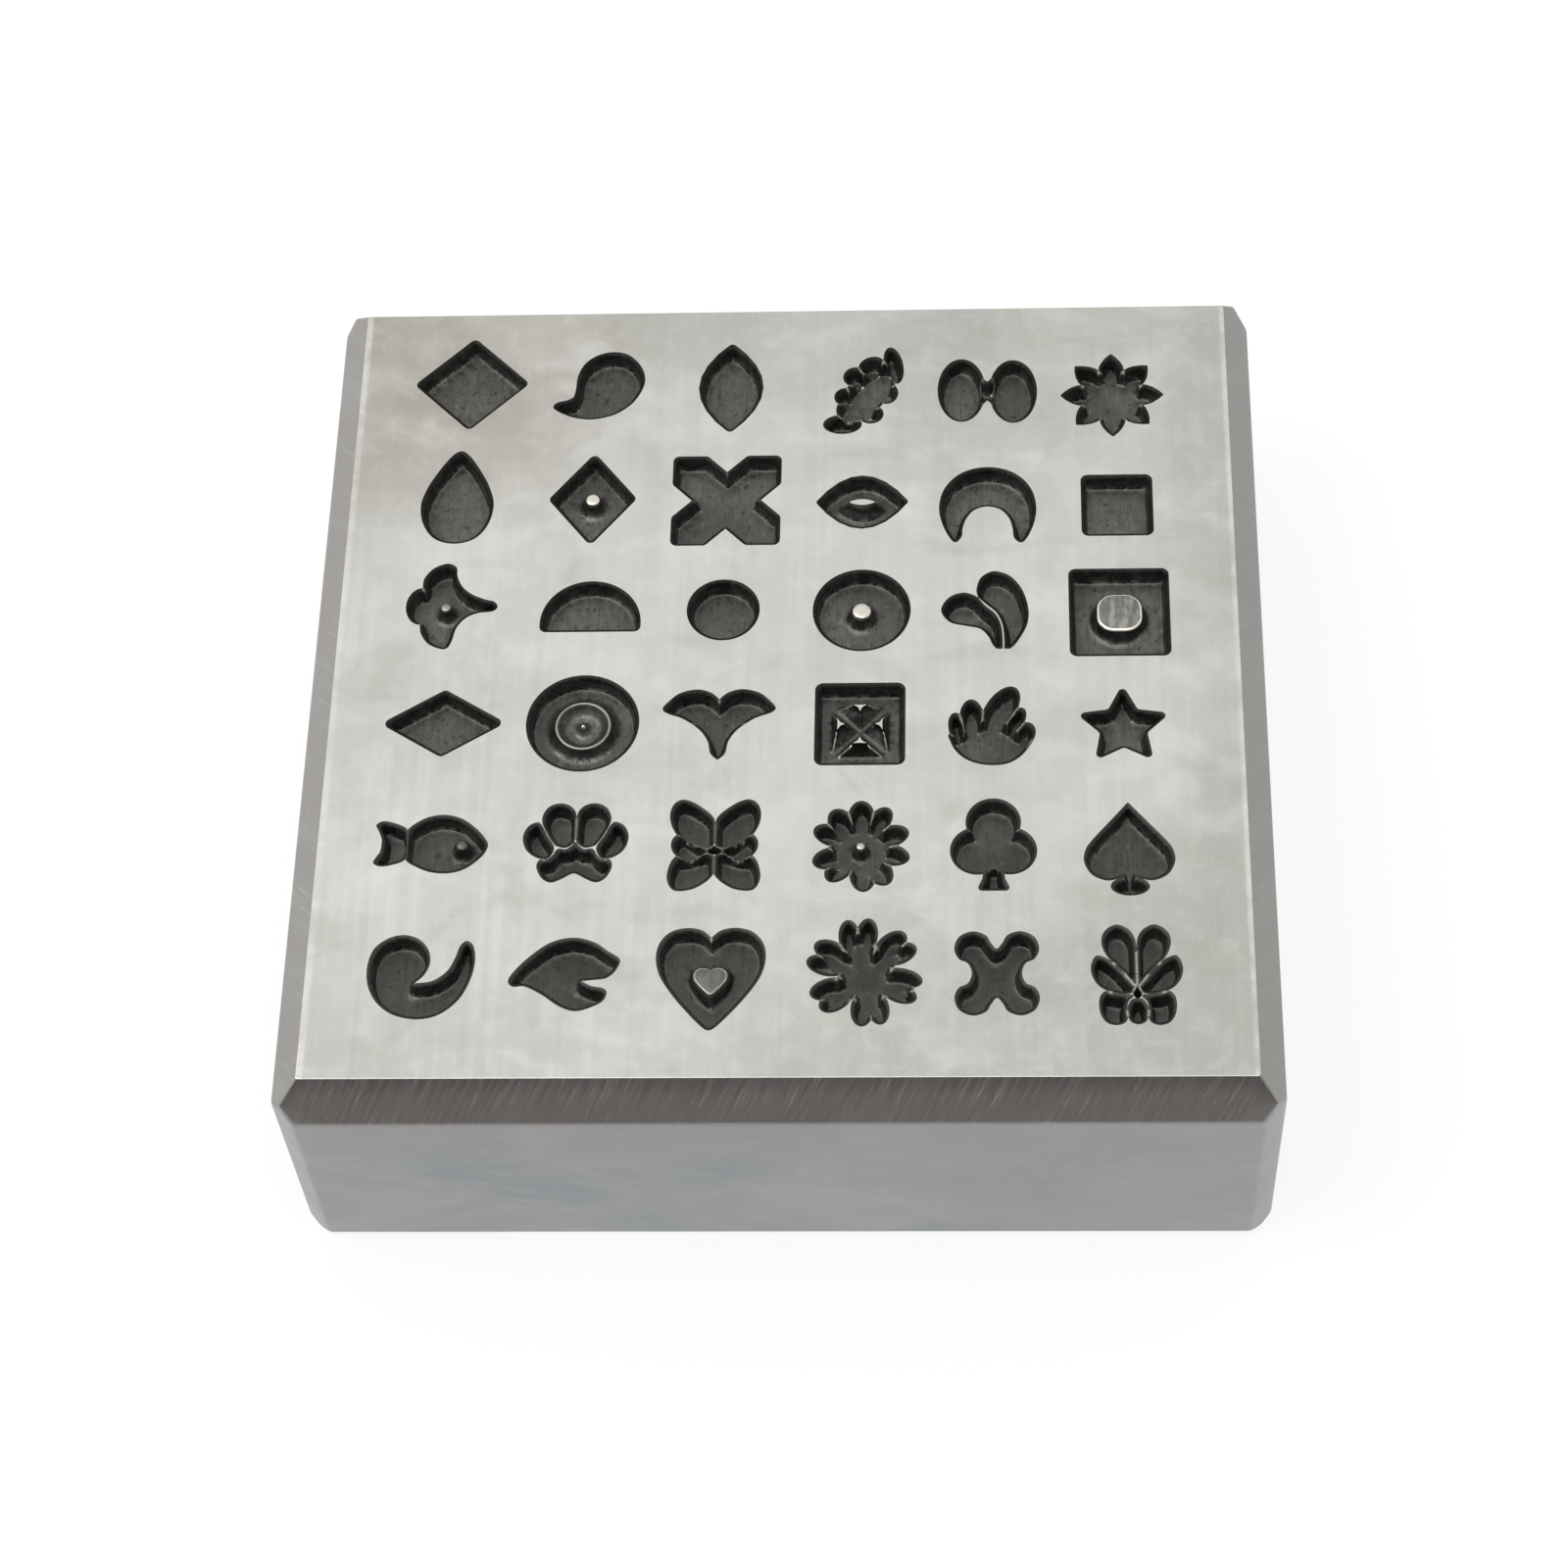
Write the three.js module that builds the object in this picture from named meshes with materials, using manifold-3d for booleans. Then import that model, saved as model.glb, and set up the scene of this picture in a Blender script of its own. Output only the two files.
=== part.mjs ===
import * as THREE from "three";
import { mergeVertices } from "three/addons/utils/BufferGeometryUtils.js";
import Module from "manifold-3d";

// A jeweller's shot plate: one steel block whose ground face holds six rows of six forming cavities.
// Millimetres, +Z up, +X to the right, +Y away from the viewer, origin in the middle of the underside.

// Block.
const plateWidth = 63.5;
const plateDepth = 63.5;
const plateHeight = 19.05;
const footBevel = 0.4;

// The bevel along each side of the face, ground by hand: how far it comes in and how far down.
const bevel = {
  right: { run: 1.75, drop: 2.45 },
  back: { run: 1.75, drop: 2.45 },
  left: { run: 1.9, drop: 2.5 },
  front: { run: 1.9, drop: 2.85 },
};

// Upright corners, cut off flat below the bevel: how far each cut runs back, and the radius of its edges.
const uprightLeg = { frontRight: 1.4, backRight: 1.9, backLeft: 1.45, frontLeft: 1.45 };
const uprightEase = 0.7;

// Cavities: how deep they are sunk, and how far a wall leans in on the way down to the floor.
const sinkDepth = 1.2;
const wallRun = 0.45;
const tightWallRun = 0.26;
const pitch = 9;

// Half of each cavity's longer side, measured on the face.
const reach = {
  squareOnPoint: 4.01,
  comma: 3.1,
  marquise: 3.75,
  oakLeaf: 3.7,
  twinOvals: 3.4,
  daisy: 3.5,
  teardrop: 3.86,
  postedDiamond: 3.86,
  cross: 3.71,
  islandLens: 3.11,
  crescent: 3.31,
  tile: 2.52,
  spurredScallop: 3.45,
  halfDisc: 3.38,
  disc: 2.44,
  postedDisc: 3.26,
  twinBuds: 3.1,
  postedTile: 3.48,
  rhombus: 4.17,
  ringedDisc: 3.73,
  ginkgo: 3.72,
  pyramidTile: 3.2,
  flameLeaf: 3.05,
  star: 3.25,
  fish: 3.68,
  paw: 3.4,
  butterfly: 3.41,
  postedFlower: 3.35,
  club: 3.42,
  spade: 3.45,
  hook: 3.44,
  wing: 3.51,
  islandHeart: 3.7,
  clovenFlower: 3.75,
  fourLobes: 3.03,
  lotus: 3.6,
};

// Corner radii on the face.
const cornerRadius = {
  squareOnPoint: 0.4,
  postedDiamond: 0.4,
  cross: 0.45,
  tile: 0.5,
  halfDisc: 0.45,
  postedTile: 0.5,
  rhombus: 0.4,
  pyramidTile: 0.55,
  star: 0.3,
  stem: 0.25,
};

// Posts left standing in a cavity: the radius of the top, and of the foot at the floor.
const post = {
  diamond: { top: 0.42, foot: 1.0 },
  scallop: { top: 0.28, foot: 0.75 },
  disc: { top: 0.58, foot: 1.1 },
  tile: { top: 1.44, foot: 2.0 },
  eye: { top: 0.16, foot: 0.62 },
  flower: { top: 0.22, foot: 0.62 },
};

// The ring and the peak inside the ringed disc, both a little below the face.
const ringRadius = 1.75;
const ringFootRadius = 2.3;
const ringCrest = 0.06;
const ringBowlRadius = 1.1;
const peakRadius = 0.08;
const peakFootRadius = 0.5;
const ringDrop = 0.31;

// Fineness of the facets, and the length by which a cutter or a standing piece passes a face.
const chord = 0.72;
const cornerFacets = 2;
const wallFacets = 2;
const ringFacets = 26;
const leastPoints = 10;
const overrun = 0.5;
// The share of the lean at which an outline would close up that a wall may take.
const leanShare = 0.8;

// Where each cavity's middle lies, in shares of the pitch from the middle of the face.
const placeShares = {
  squareOnPoint: [-2.458, 2.664],
  comma: [-1.47, 2.635],
  marquise: [-0.455, 2.6],
  oakLeaf: [0.56, 2.56],
  twinOvals: [1.507, 2.537],
  daisy: [2.455, 2.487],
  teardrop: [-2.5, 1.6],
  postedDiamond: [-1.475, 1.567],
  cross: [-0.463, 1.543],
  islandLens: [0.561, 1.514],
  crescent: [1.502, 1.482],
  tile: [2.469, 1.462],
  spurredScallop: [-2.484, 0.611],
  halfDisc: [-1.442, 0.593],
  disc: [-0.458, 0.552],
  postedDisc: [0.567, 0.537],
  twinBuds: [1.473, 0.529],
  postedTile: [2.464, 0.5],
  rhombus: [-2.478, -0.421],
  ringedDisc: [-1.456, -0.429],
  ginkgo: [-0.463, -0.448],
  pyramidTile: [0.564, -0.453],
  flameLeaf: [1.511, -0.482],
  star: [2.468, -0.492],
  fish: [-2.494, -1.444],
  paw: [-1.459, -1.436],
  butterfly: [-0.462, -1.461],
  postedFlower: [0.579, -1.477],
  club: [1.523, -1.472],
  spade: [2.483, -1.514],
  hook: [-2.502, -2.52],
  wing: [-1.49, -2.504],
  islandHeart: [-0.461, -2.542],
  clovenFlower: [0.617, -2.497],
  fourLobes: [1.539, -2.511],
  lotus: [2.511, -2.524],
};

// Outlines, in shares of their cavity's reach. Points run round the outline; an oval is its middle,
// its two half sizes and its turn in degrees. A half outline is mirrored left to right.
const quarterTurn = Math.PI / 2;
const fullTurn = Math.PI * 2;
const origin = new THREE.Vector2();
const wholeDiscShare = [0, 0, 1, 1, 0];
const marquiseWidthShare = 0.59;
const lensWidthShare = 0.71;
const lensIslandShares = { long: 0.53, wide: 0.3, top: [0.59, 0.29] };
const diamondWidthShare = 0.785;
const rhombusHeightShare = 0.63;
const crossNotchShare = 0.365;
const tileWidthShare = 0.96;
const postedTileWidthShare = 0.96;
const pyramidTileWidthShare = 0.935;
const starPoints = 5;
const starWaistShare = 0.5;
const halfDiscShares = [[-1, -0.604], [1, -0.604], [-1, -0.4], [1, -0.4]];
const commaShares = [
  [-0.57, -0.31], [-0.53, -0.1], [-0.5, 0.27], [-0.36, 0.61], [-0.1, 0.84], [0.23, 0.94],
  [0.57, 0.88], [0.83, 0.65], [0.98, 0.36], [1.01, 0.06], [0.9, -0.27], [0.7, -0.56],
  [0.36, -0.81], [-0.09, -0.93], [-0.49, -0.89], [-0.79, -0.77], [-0.97, -0.65],
  [-1.01, -0.55], [-0.92, -0.45], [-0.71, -0.39],
];
const oakLeafOvalShares = [
  [0.09, -0.03, 0.8, 0.39, 58], [0.56, 0.57, 0.43, 0.18, 100], [0.15, 0.56, 0.26, 0.21, 30],
  [-0.15, 0.31, 0.23, 0.23, 0], [-0.33, -0.15, 0.21, 0.21, 0], [0.43, -0.07, 0.22, 0.25, 0],
  [0.14, -0.55, 0.24, 0.22, 0], [-0.38, -0.78, 0.36, 0.22, 0], [-0.3, -0.45, 0.28, 0.2, 90],
];
const twinOvalShares = [[-0.52, 0.03, 0.79, 0.485, 90], [0.52, -0.01, 0.79, 0.485, 90]];
const twinOvalBridgeShares = [
  [-0.22, 0.46], [0, 0.24], [0.22, 0.46], [0.22, -0.48], [0, -0.23], [-0.22, -0.48],
];
const daisyPetals = 8;
const daisyPetalShares = { middle: 0.57, long: 0.44, wide: 0.255, eye: 0.64 };
const teardropHalfShares = [
  [0, 1], [0.08, 0.97], [0.2, 0.84], [0.37, 0.57], [0.54, 0.23], [0.645, -0.16], [0.58, -0.57],
  [0.36, -0.89], [0, -1],
];
const crescentShares = [
  [-0.79, -0.8], [-0.93, -0.46], [-0.99, -0.08], [-0.91, 0.33], [-0.69, 0.66], [-0.38, 0.86],
  [0, 0.93], [0.38, 0.86], [0.69, 0.66], [0.91, 0.33], [0.99, -0.08], [0.94, -0.48], [0.8, -0.83],
  [0.67, -0.96], [0.53, -0.84], [0.5, -0.6], [0.43, -0.35], [0.26, -0.14], [0, -0.06],
  [-0.26, -0.14], [-0.43, -0.35], [-0.51, -0.6], [-0.53, -0.8], [-0.66, -0.94],
];
const scallopShares = [
  [[-0.59, 0.43], [-0.57, 0.65], [-0.4, 0.88], [-0.14, 0.99], [0.04, 0.9], [0.08, 0.67],
    [0.19, 0.44], [0.39, 0.26], [0.65, 0.14], [0.82, 0.09], [0.9, -0.03], [0.81, -0.14],
    [0.52, -0.18], [0.29, -0.3], [0.13, -0.52], [0.06, -0.81], [-0.02, -0.98], [-0.16, -1],
    [-0.4, -0.88], [-0.55, -0.66]],
  [[-0.59, -0.46], [-0.68, -0.22], [-0.72, 0], [-0.68, 0.21]],
];
const scallopLobeShare = [-0.58, -0.01, 0.43, 0.31, 90];
const scallopPostShares = [-0.11, -0.03];
const leftBudShares = [
  [[-0.14, 0.33], [-0.28, 0.41], [-0.46, 0.45], [-0.72, 0.36], [-0.9, 0.13], [-0.91, -0.09],
    [-0.72, -0.32], [-0.38, -0.41], [-0.09, -0.49], [0.08, -0.69], [0.16, -0.88]],
  [[0.25, -1]],
  [[0.38, -1], [0.38, -0.69], [0.34, -0.36], [0.22, -0.09], [0.01, 0.12]],
];
const rightBudShares = [
  [[-0.14, 0.33], [-0.17, 0.53], [-0.09, 0.81], [0.1, 0.97], [0.3, 0.99], [0.59, 0.84],
    [0.83, 0.47], [0.94, -0.01], [0.9, -0.4], [0.74, -0.74], [0.62, -0.92]],
  [[0.53, -1]],
  [[0.41, -1], [0.41, -0.69], [0.37, -0.35], [0.25, -0.07], [0.04, 0.14]],
];
const ginkgoHalfShares = [
  [0, 0.52], [0.15, 0.66], [0.4, 0.73], [0.7, 0.655], [0.9, 0.48], [1, 0.33], [0.91, 0.23],
  [0.63, 0.115], [0.345, -0.105], [0.185, -0.35], [0.13, -0.6], [0, -0.74],
];
const flameOvalShares = [
  [-0.7, -0.06, 0.41, 0.2, 100], [-0.4, 0.16, 0.52, 0.27, 92], [0.21, 0.41, 0.65, 0.33, 61],
  [0.5, 0.08, 0.42, 0.2, 62], [0.69, -0.26, 0.37, 0.24, 65],
];
const flameBodyShares = [
  [-0.9, -0.2], [-0.86, -0.39], [-0.76, -0.6], [-0.57, -0.8], [-0.3, -0.93], [0.02, -0.98],
  [0.35, -0.94], [0.6, -0.79], [0.78, -0.58], [0.9, -0.34], [0.78, -0.18], [0.55, -0.02],
  [0.28, 0.2], [-0.12, 0.24], [-0.45, 0.1], [-0.7, -0.1],
];
const fishBodyShares = [
  [-0.48, 0], [-0.44, 0.29], [-0.25, 0.47], [-0.04, 0.57], [0.22, 0.6], [0.51, 0.52], [0.77, 0.32],
  [0.93, 0.13], [1, -0.02], [0.94, -0.2], [0.77, -0.39], [0.56, -0.53], [0.3, -0.59], [0.01, -0.56],
  [-0.25, -0.45], [-0.44, -0.3],
];
const fishTailShares = [
  [-0.38, 0], [-0.44, 0.3], [-0.63, 0.42], [-0.87, 0.48], [-1, 0.4], [-0.95, 0.28], [-0.89, 0.13],
  [-0.88, 0], [-0.9, -0.15], [-0.97, -0.27], [-1, -0.37], [-0.88, -0.44], [-0.66, -0.41], [-0.44, -0.3],
];
const fishEyeShares = [0.53, 0];
const pawSideToeShares = [
  [-0.76, 0.44], [-0.9, 0.37], [-0.985, 0.22], [-1, 0.06], [-0.94, -0.13], [-0.81, -0.27],
  [-0.66, -0.34], [-0.53, -0.345], [-0.44, -0.22], [-0.43, -0.08], [-0.57, 0.16], [-0.68, 0.38],
];
const pawToeShares = [
  [-0.34, 0.86], [-0.52, 0.8], [-0.63, 0.64], [-0.645, 0.45], [-0.54, 0.2], [-0.41, -0.01],
  [-0.34, -0.07], [-0.18, -0.1], [-0.06, -0.01], [-0.012, 0.12], [-0.012, 0.36], [-0.02, 0.58],
  [-0.06, 0.71], [-0.17, 0.82],
];
const pawPadHalfShares = [
  [0, 0.01], [0.05, -0.07], [0.17, -0.16], [0.33, -0.155], [0.41, -0.28], [0.52, -0.385],
  [0.66, -0.39], [0.71, -0.52], [0.65, -0.7], [0.55, -0.82], [0.41, -0.865], [0.22, -0.78],
  [0.09, -0.7], [0, -0.67],
];
const upperWingShares = [
  [-0.64, 0.99], [-0.79, 0.9], [-0.855, 0.71], [-0.84, 0.5], [-0.76, 0.3], [-0.62, 0.12],
  [-0.42, -0.01], [-0.22, -0.07], [-0.06, -0.05], [-0.012, 0.1], [-0.012, 0.35], [-0.03, 0.54],
  [-0.1, 0.66], [-0.24, 0.79], [-0.44, 0.93],
];
const sideLobeShares = [
  [-0.7, 0.22], [-0.79, 0.13], [-0.82, 0], [-0.79, -0.13], [-0.7, -0.25], [-0.55, -0.36],
  [-0.34, -0.32], [-0.1, -0.12], [-0.34, 0.08], [-0.54, 0.24],
];
const lowerWingShares = [
  [-0.72, -0.26], [-0.82, -0.41], [-0.875, -0.66], [-0.845, -0.85], [-0.755, -0.975], [-0.605, -1],
  [-0.39, -0.955], [-0.21, -0.85], [-0.075, -0.725], [-0.012, -0.6], [-0.012, -0.35], [-0.05, -0.2],
  [-0.2, -0.14], [-0.4, -0.2], [-0.58, -0.24],
];
// Where the ridges between its wings meet, below the face.
const butterflyMiddleShare = [0, -0.12, 0.17, 0.1, 0];
const postedFlowerOvalShares = [
  [0, 0, 0.61, 0.61, 0], [0.01, 0.62, 0.38, 0.26, 90], [0.35, 0.53, 0.36, 0.22, 58],
  [0.56, 0.2, 0.38, 0.24, 19], [0.56, -0.2, 0.39, 0.24, -14], [0.33, -0.53, 0.39, 0.26, -57],
  [0.05, -0.62, 0.4, 0.26, -88], [-0.38, -0.48, 0.38, 0.24, -130], [-0.56, -0.27, 0.37, 0.24, -163],
  [-0.56, 0.23, 0.37, 0.235, 155], [-0.35, 0.47, 0.38, 0.26, 118],
];
const clubDiscShares = [
  [0, 0.48, 0.52, 0.52, 0], [-0.3, -0.14, 0.515, 0.515, 0], [0.3, -0.14, 0.515, 0.515, 0],
];
const clubStemShares = [
  [-0.18, -0.4], [-0.21, -0.73], [-0.33, -1], [0.33, -1], [0.21, -0.73], [0.18, -0.4],
];
const spadeHalfShares = [
  [0, 1], [0.37, 0.56], [0.71, 0.15], [0.82, -0.06], [0.835, -0.29], [0.7, -0.55], [0.42, -0.68],
  [0.15, -0.62], [0, -0.56],
];
const spadeNeckShares = [[-0.12, -0.35], [-0.13, -0.85], [0.13, -0.85], [0.12, -0.35]];
const spadeFootShare = [0, -0.8, 0.36, 0.2, 0];
const hookShares = [
  [-0.09, -0.13], [0.08, 0.04], [0.17, 0.29], [0.12, 0.57], [-0.07, 0.79], [-0.35, 0.88],
  [-0.64, 0.81], [-0.89, 0.59], [-0.99, 0.23], [-0.95, -0.18], [-0.76, -0.54], [-0.43, -0.79],
  [0.01, -0.88], [0.41, -0.78], [0.75, -0.47], [0.94, -0.05], [1, 0.33], [0.95, 0.64], [0.82, 0.75],
  [0.7, 0.64], [0.63, 0.41], [0.5, 0.13], [0.24, -0.08],
];
const wingShares = [
  [0.33, -0.14], [0.51, -0.24], [0.73, -0.29], [0.79, -0.4], [0.68, -0.59], [0.28, -0.75],
  [-0.04, -0.66], [-0.39, -0.41], [-0.69, -0.25], [-0.91, -0.25], [-1, -0.13], [-0.89, 0.08],
  [-0.62, 0.38], [-0.27, 0.65], [0.13, 0.75], [0.51, 0.66], [0.78, 0.47], [1, 0.3], [0.94, 0.08],
  [0.78, -0.08], [0.56, -0.12],
];
const heartHalfShares = [
  [0, 0.79], [0.16, 0.93], [0.41, 0.98], [0.69, 0.91], [0.88, 0.7], [0.94, 0.4], [0.86, 0.04],
  [0.62, -0.35], [0.32, -0.72], [0.1, -0.95], [0, -1],
];
const heartIslandShares = { size: 0.405, shift: -0.045, top: [0.69, 0.58] };
const clovenFlowerOvalShares = [
  [0.02, -0.02, 0.46, 0.46, 0], [-0.26, 0.66, 0.34, 0.185, 95], [0.03, 0.68, 0.35, 0.19, 84],
  [-0.07, 0.36, 0.45, 0.28, 95], [0.44, 0.53, 0.32, 0.2, 42], [0.6, 0.34, 0.3, 0.19, 30],
  [0.33, 0.28, 0.42, 0.25, 38], [0.62, -0.12, 0.36, 0.19, -12], [0.57, -0.39, 0.33, 0.19, -25],
  [0.4, -0.2, 0.45, 0.27, -20], [0.23, -0.68, 0.32, 0.19, -80], [-0.03, -0.7, 0.33, 0.2, -93],
  [0.07, -0.4, 0.45, 0.27, -85], [-0.48, -0.53, 0.31, 0.2, -145], [-0.6, -0.32, 0.33, 0.2, -160],
  [-0.35, -0.32, 0.42, 0.25, -145], [-0.57, 0.4, 0.31, 0.2, 152], [-0.65, 0.13, 0.34, 0.2, 163],
  [-0.36, 0.2, 0.44, 0.25, 152],
];
const fourLobesQuarterShares = [
  [0.52, 0], [0.6, 0.23], [0.79, 0.34], [0.88, 0.58], [0.78, 0.86], [0.5, 0.99], [0.23, 0.9],
  [0.12, 0.72],
];
const fourLobesWaistShare = 0.58;
const lotusTopShares = [
  [-0.32, 0.985], [-0.48, 0.92], [-0.58, 0.78], [-0.59, 0.58], [-0.49, 0.345], [-0.275, 0.11],
  [-0.1, -0.12], [-0.02, -0.22], [-0.014, -0.1], [-0.014, 0.2], [-0.02, 0.58], [-0.055, 0.76],
  [-0.15, 0.9],
];
const lotusSideShares = [
  [-0.7, 0.36], [-0.775, 0.23], [-0.795, 0.08], [-0.75, -0.09], [-0.65, -0.23], [-0.5, -0.325],
  [-0.3, -0.37], [-0.12, -0.365], [-0.03, -0.29], [-0.03, -0.25], [-0.12, -0.14], [-0.285, 0.07],
  [-0.45, 0.245], [-0.56, 0.32],
];
const lotusFootShares = [
  [-0.55, -0.35], [-0.64, -0.44], [-0.665, -0.6], [-0.635, -0.8], [-0.54, -0.945], [-0.385, -0.995],
  [-0.25, -0.955], [-0.195, -0.85], [-0.205, -0.68], [-0.175, -0.53], [-0.09, -0.43], [-0.2, -0.41],
  [-0.38, -0.395],
];
const lotusSeedHalfShares = [
  [0, -0.49], [0.1, -0.52], [0.165, -0.65], [0.17, -0.8], [0.12, -0.93], [0, -0.98],
];
// Where the ridges between its petals meet, below the face.
const lotusMiddleShare = [0, -0.36, 0.085, 0.12, 0];
const pyramidShares = { outer: 0.58, inner: 0.06, half: 0.52, middle: 0.42, top: [0.16, 0.16] };

const wasm = await Module();
wasm.setup();

// A closed geometry as a solid that can be joined and cut.
function solidOf(geometry) {
  geometry.deleteAttribute("normal");
  geometry.deleteAttribute("uv");
  const merged = mergeVertices(geometry);
  const triVerts = new Uint32Array(merged.index.array);
  const vertProperties = merged.attributes.position.array;
  return new wasm.Manifold(new wasm.Mesh({ numProp: 3, vertProperties, triVerts }));
}

function geometryOf(solid) {
  const { numProp, vertProperties, triVerts } = solid.getMesh();
  const geometry = new THREE.BufferGeometry();
  geometry.setAttribute("position", new THREE.BufferAttribute(vertProperties, numProp));
  geometry.setIndex(new THREE.BufferAttribute(triVerts, 1));
  geometry.computeVertexNormals();
  return geometry;
}

const joined = (solids) => solids.reduce((sum, solid) => sum.add(solid));

// Outlines

const vectors = (pairs) => pairs.map(([x, y]) => new THREE.Vector2(x, y));
const sized = (r, shares) => vectors(shares).map((p) => p.multiplyScalar(r));

// A right half outline with its left half added.
function mirrored(shares) {
  const left = shares.filter(([x]) => x > 0).map(([x, y]) => [-x, y]);
  return [...shares, ...left.reverse()];
}

// Even points along a curve, without its last one.
function evenPoints(curve, least) {
  const count = Math.max(least, Math.round(curve.getLength() / chord));
  return curve.getSpacedPoints(count).slice(0, -1);
}

function oval(r, [x, y, long, wide, turn]) {
  const angle = THREE.MathUtils.degToRad(turn);
  const curve = new THREE.EllipseCurve(x * r, y * r, long * r, wide * r, 0, fullTurn, false, angle);
  return evenPoints(curve, leastPoints);
}

// Smooth stretches that meet at a corner: each one runs on to the first point of the next.
function stretches(r, shareLists) {
  return shareLists.flatMap((shares, i) => {
    const next = shareLists[(i + 1) % shareLists.length][0];
    return evenPoints(new THREE.SplineCurve(sized(r, [...shares, next])), 1);
  });
}

// One smooth loop without a corner.
function loop(r, shares) {
  const points = sized(r, shares).map(({ x, y }) => new THREE.Vector3(x, y, 0));
  const curve = new THREE.CatmullRomCurve3(points, true, "catmullrom");
  return evenPoints(curve, leastPoints).map(({ x, y }) => new THREE.Vector2(x, y));
}

// The arc that rounds one corner.
function roundedCorner(before, corner, after, radius) {
  const toBefore = before.clone().sub(corner);
  const toAfter = after.clone().sub(corner);
  const half = toBefore.angleTo(toAfter) / 2;
  const trim = Math.min(radius / Math.tan(half), toBefore.length() / 2, toAfter.length() / 2);
  const start = toBefore.setLength(trim);
  const end = toAfter.setLength(trim);
  const middle = start.clone().add(end).setLength(trim / Math.cos(half));
  const from = start.clone().sub(middle);
  const to = end.clone().sub(middle);
  const sweep = Math.atan2(from.cross(to), from.dot(to));
  return Array.from({ length: cornerFacets + 1 }, (_, k) =>
    start.clone().rotateAround(middle, (k * sweep) / cornerFacets).add(corner));
}

function rounded(points, radius) {
  const count = points.length;
  return points.flatMap((corner, i) =>
    roundedCorner(points[(i + count - 1) % count], corner, points[(i + 1) % count], radius));
}

const box = (x, y) => vectors([[x, -y], [x, y], [-x, y], [-x, -y]]);
const diamond = (x, y) => vectors([[x, 0], [0, y], [-x, 0], [0, -y]]);
const circle = (r) => oval(r, wholeDiscShare);

// Two parabolas that meet in a tip at either end.
function lens(halfLong, halfWide, turn = 0, middle = 0) {
  const tips = vectors([[middle - halfLong, 0], [middle + halfLong, 0]]);
  const bulges = vectors([[middle, -2 * halfWide], [middle, 2 * halfWide]]);
  return [0, 1].flatMap((k) => {
    const side = new THREE.QuadraticBezierCurve(tips[k], bulges[k], tips[1 - k]);
    return evenPoints(side, leastPoints / 2).map((p) => p.rotateAround(origin, turn));
  });
}

// A half disc whose bow stands on two short upright sides.
function halfDisc(r, radius) {
  const [baseLeft, baseRight, springLeft, springRight] = sized(r, halfDiscShares);
  const bow = new THREE.EllipseCurve(0, springRight.y, r, r, 0, Math.PI);
  return [
    ...evenPoints(bow, leastPoints),
    springLeft,
    ...roundedCorner(springLeft, baseLeft, baseRight, radius),
    ...roundedCorner(baseLeft, baseRight, springRight, radius),
  ];
}

// Solids

// How far a wall can lean in before some side of its outline closes up.
function mostLean(outline) {
  const count = outline.length;
  const wayRound = THREE.ShapeUtils.isClockWise(outline) ? -1 : 1;
  const closings = outline.map((p, i) => {
    const before = p.clone().sub(outline[(i + count - 1) % count]);
    const after = outline[(i + 1) % count].clone().sub(p);
    const half = (wayRound * Math.atan2(before.cross(after), before.dot(after))) / 2;
    return Math.sin(half) / Math.max(Math.cos(half), Math.SQRT1_2);
  });
  const sides = outline.map((p, i) => {
    const next = (i + 1) % count;
    const closing = closings[i] + closings[next];
    return closing > 0 ? p.distanceTo(outline[next]) / closing : Infinity;
  });
  return Math.min(...sides);
}

// What is cut out of the face: full size there and drawn in by the run where it meets the floor.
function pocket(outline, run = wallRun) {
  const lean = Math.min(run, leanShare * mostLean(outline));
  const geometry = new THREE.ExtrudeGeometry(new THREE.Shape(outline), {
    depth: overrun,
    bevelThickness: sinkDepth,
    bevelSize: lean,
    bevelOffset: -lean,
    bevelSegments: wallFacets,
  });
  return solidOf(geometry.translate(0, 0, plateHeight));
}

const pockets = (outlines, run) => joined(outlines.map((outline) => pocket(outline, run)));

// A piece left standing in a cavity. Its outline is given at the floor, about its own middle, and narrows
// evenly to the given shares at the face; it runs on past both.
function standing(outline, topShares, place = [0, 0]) {
  const pastFace = Math.min(...topShares.map((share) => (sinkDepth * share) / (1 - share))) / 2;
  const foot = plateHeight - sinkDepth;
  const geometry = new THREE.ExtrudeGeometry(new THREE.Shape(outline), {
    depth: overrun + sinkDepth + pastFace,
    bevelEnabled: false,
  });
  geometry.translate(0, 0, foot - overrun);
  const points = geometry.attributes.position;
  const narrowed = (share, z) => 1 - ((1 - share) * (z - foot)) / sinkDepth;
  for (let i = 0; i < points.count; i++) {
    const [x, y] = topShares.map((share) => narrowed(share, points.getZ(i)));
    points.setXY(i, place[0] + points.getX(i) * x, place[1] + points.getY(i) * y);
  }
  return solidOf(geometry);
}

function roundPost({ top, foot }, place) {
  const share = top / foot;
  return standing(circle(foot), [share, share], place);
}

// The ring with the peak in its middle.
function ringAndPeak() {
  const floor = plateHeight - sinkDepth;
  const crest = plateHeight - ringDrop;
  const profile = [
    [0, floor - overrun],
    [ringFootRadius, floor - overrun],
    [ringFootRadius, floor],
    [ringRadius + ringCrest, crest],
    [ringRadius - ringCrest, crest],
    [ringBowlRadius, floor],
    [peakFootRadius, floor],
    [peakRadius, crest],
    [0, crest],
  ];
  const geometry = new THREE.LatheGeometry(vectors(profile), ringFacets);
  return solidOf(geometry.rotateX(quarterTurn));
}

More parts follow.
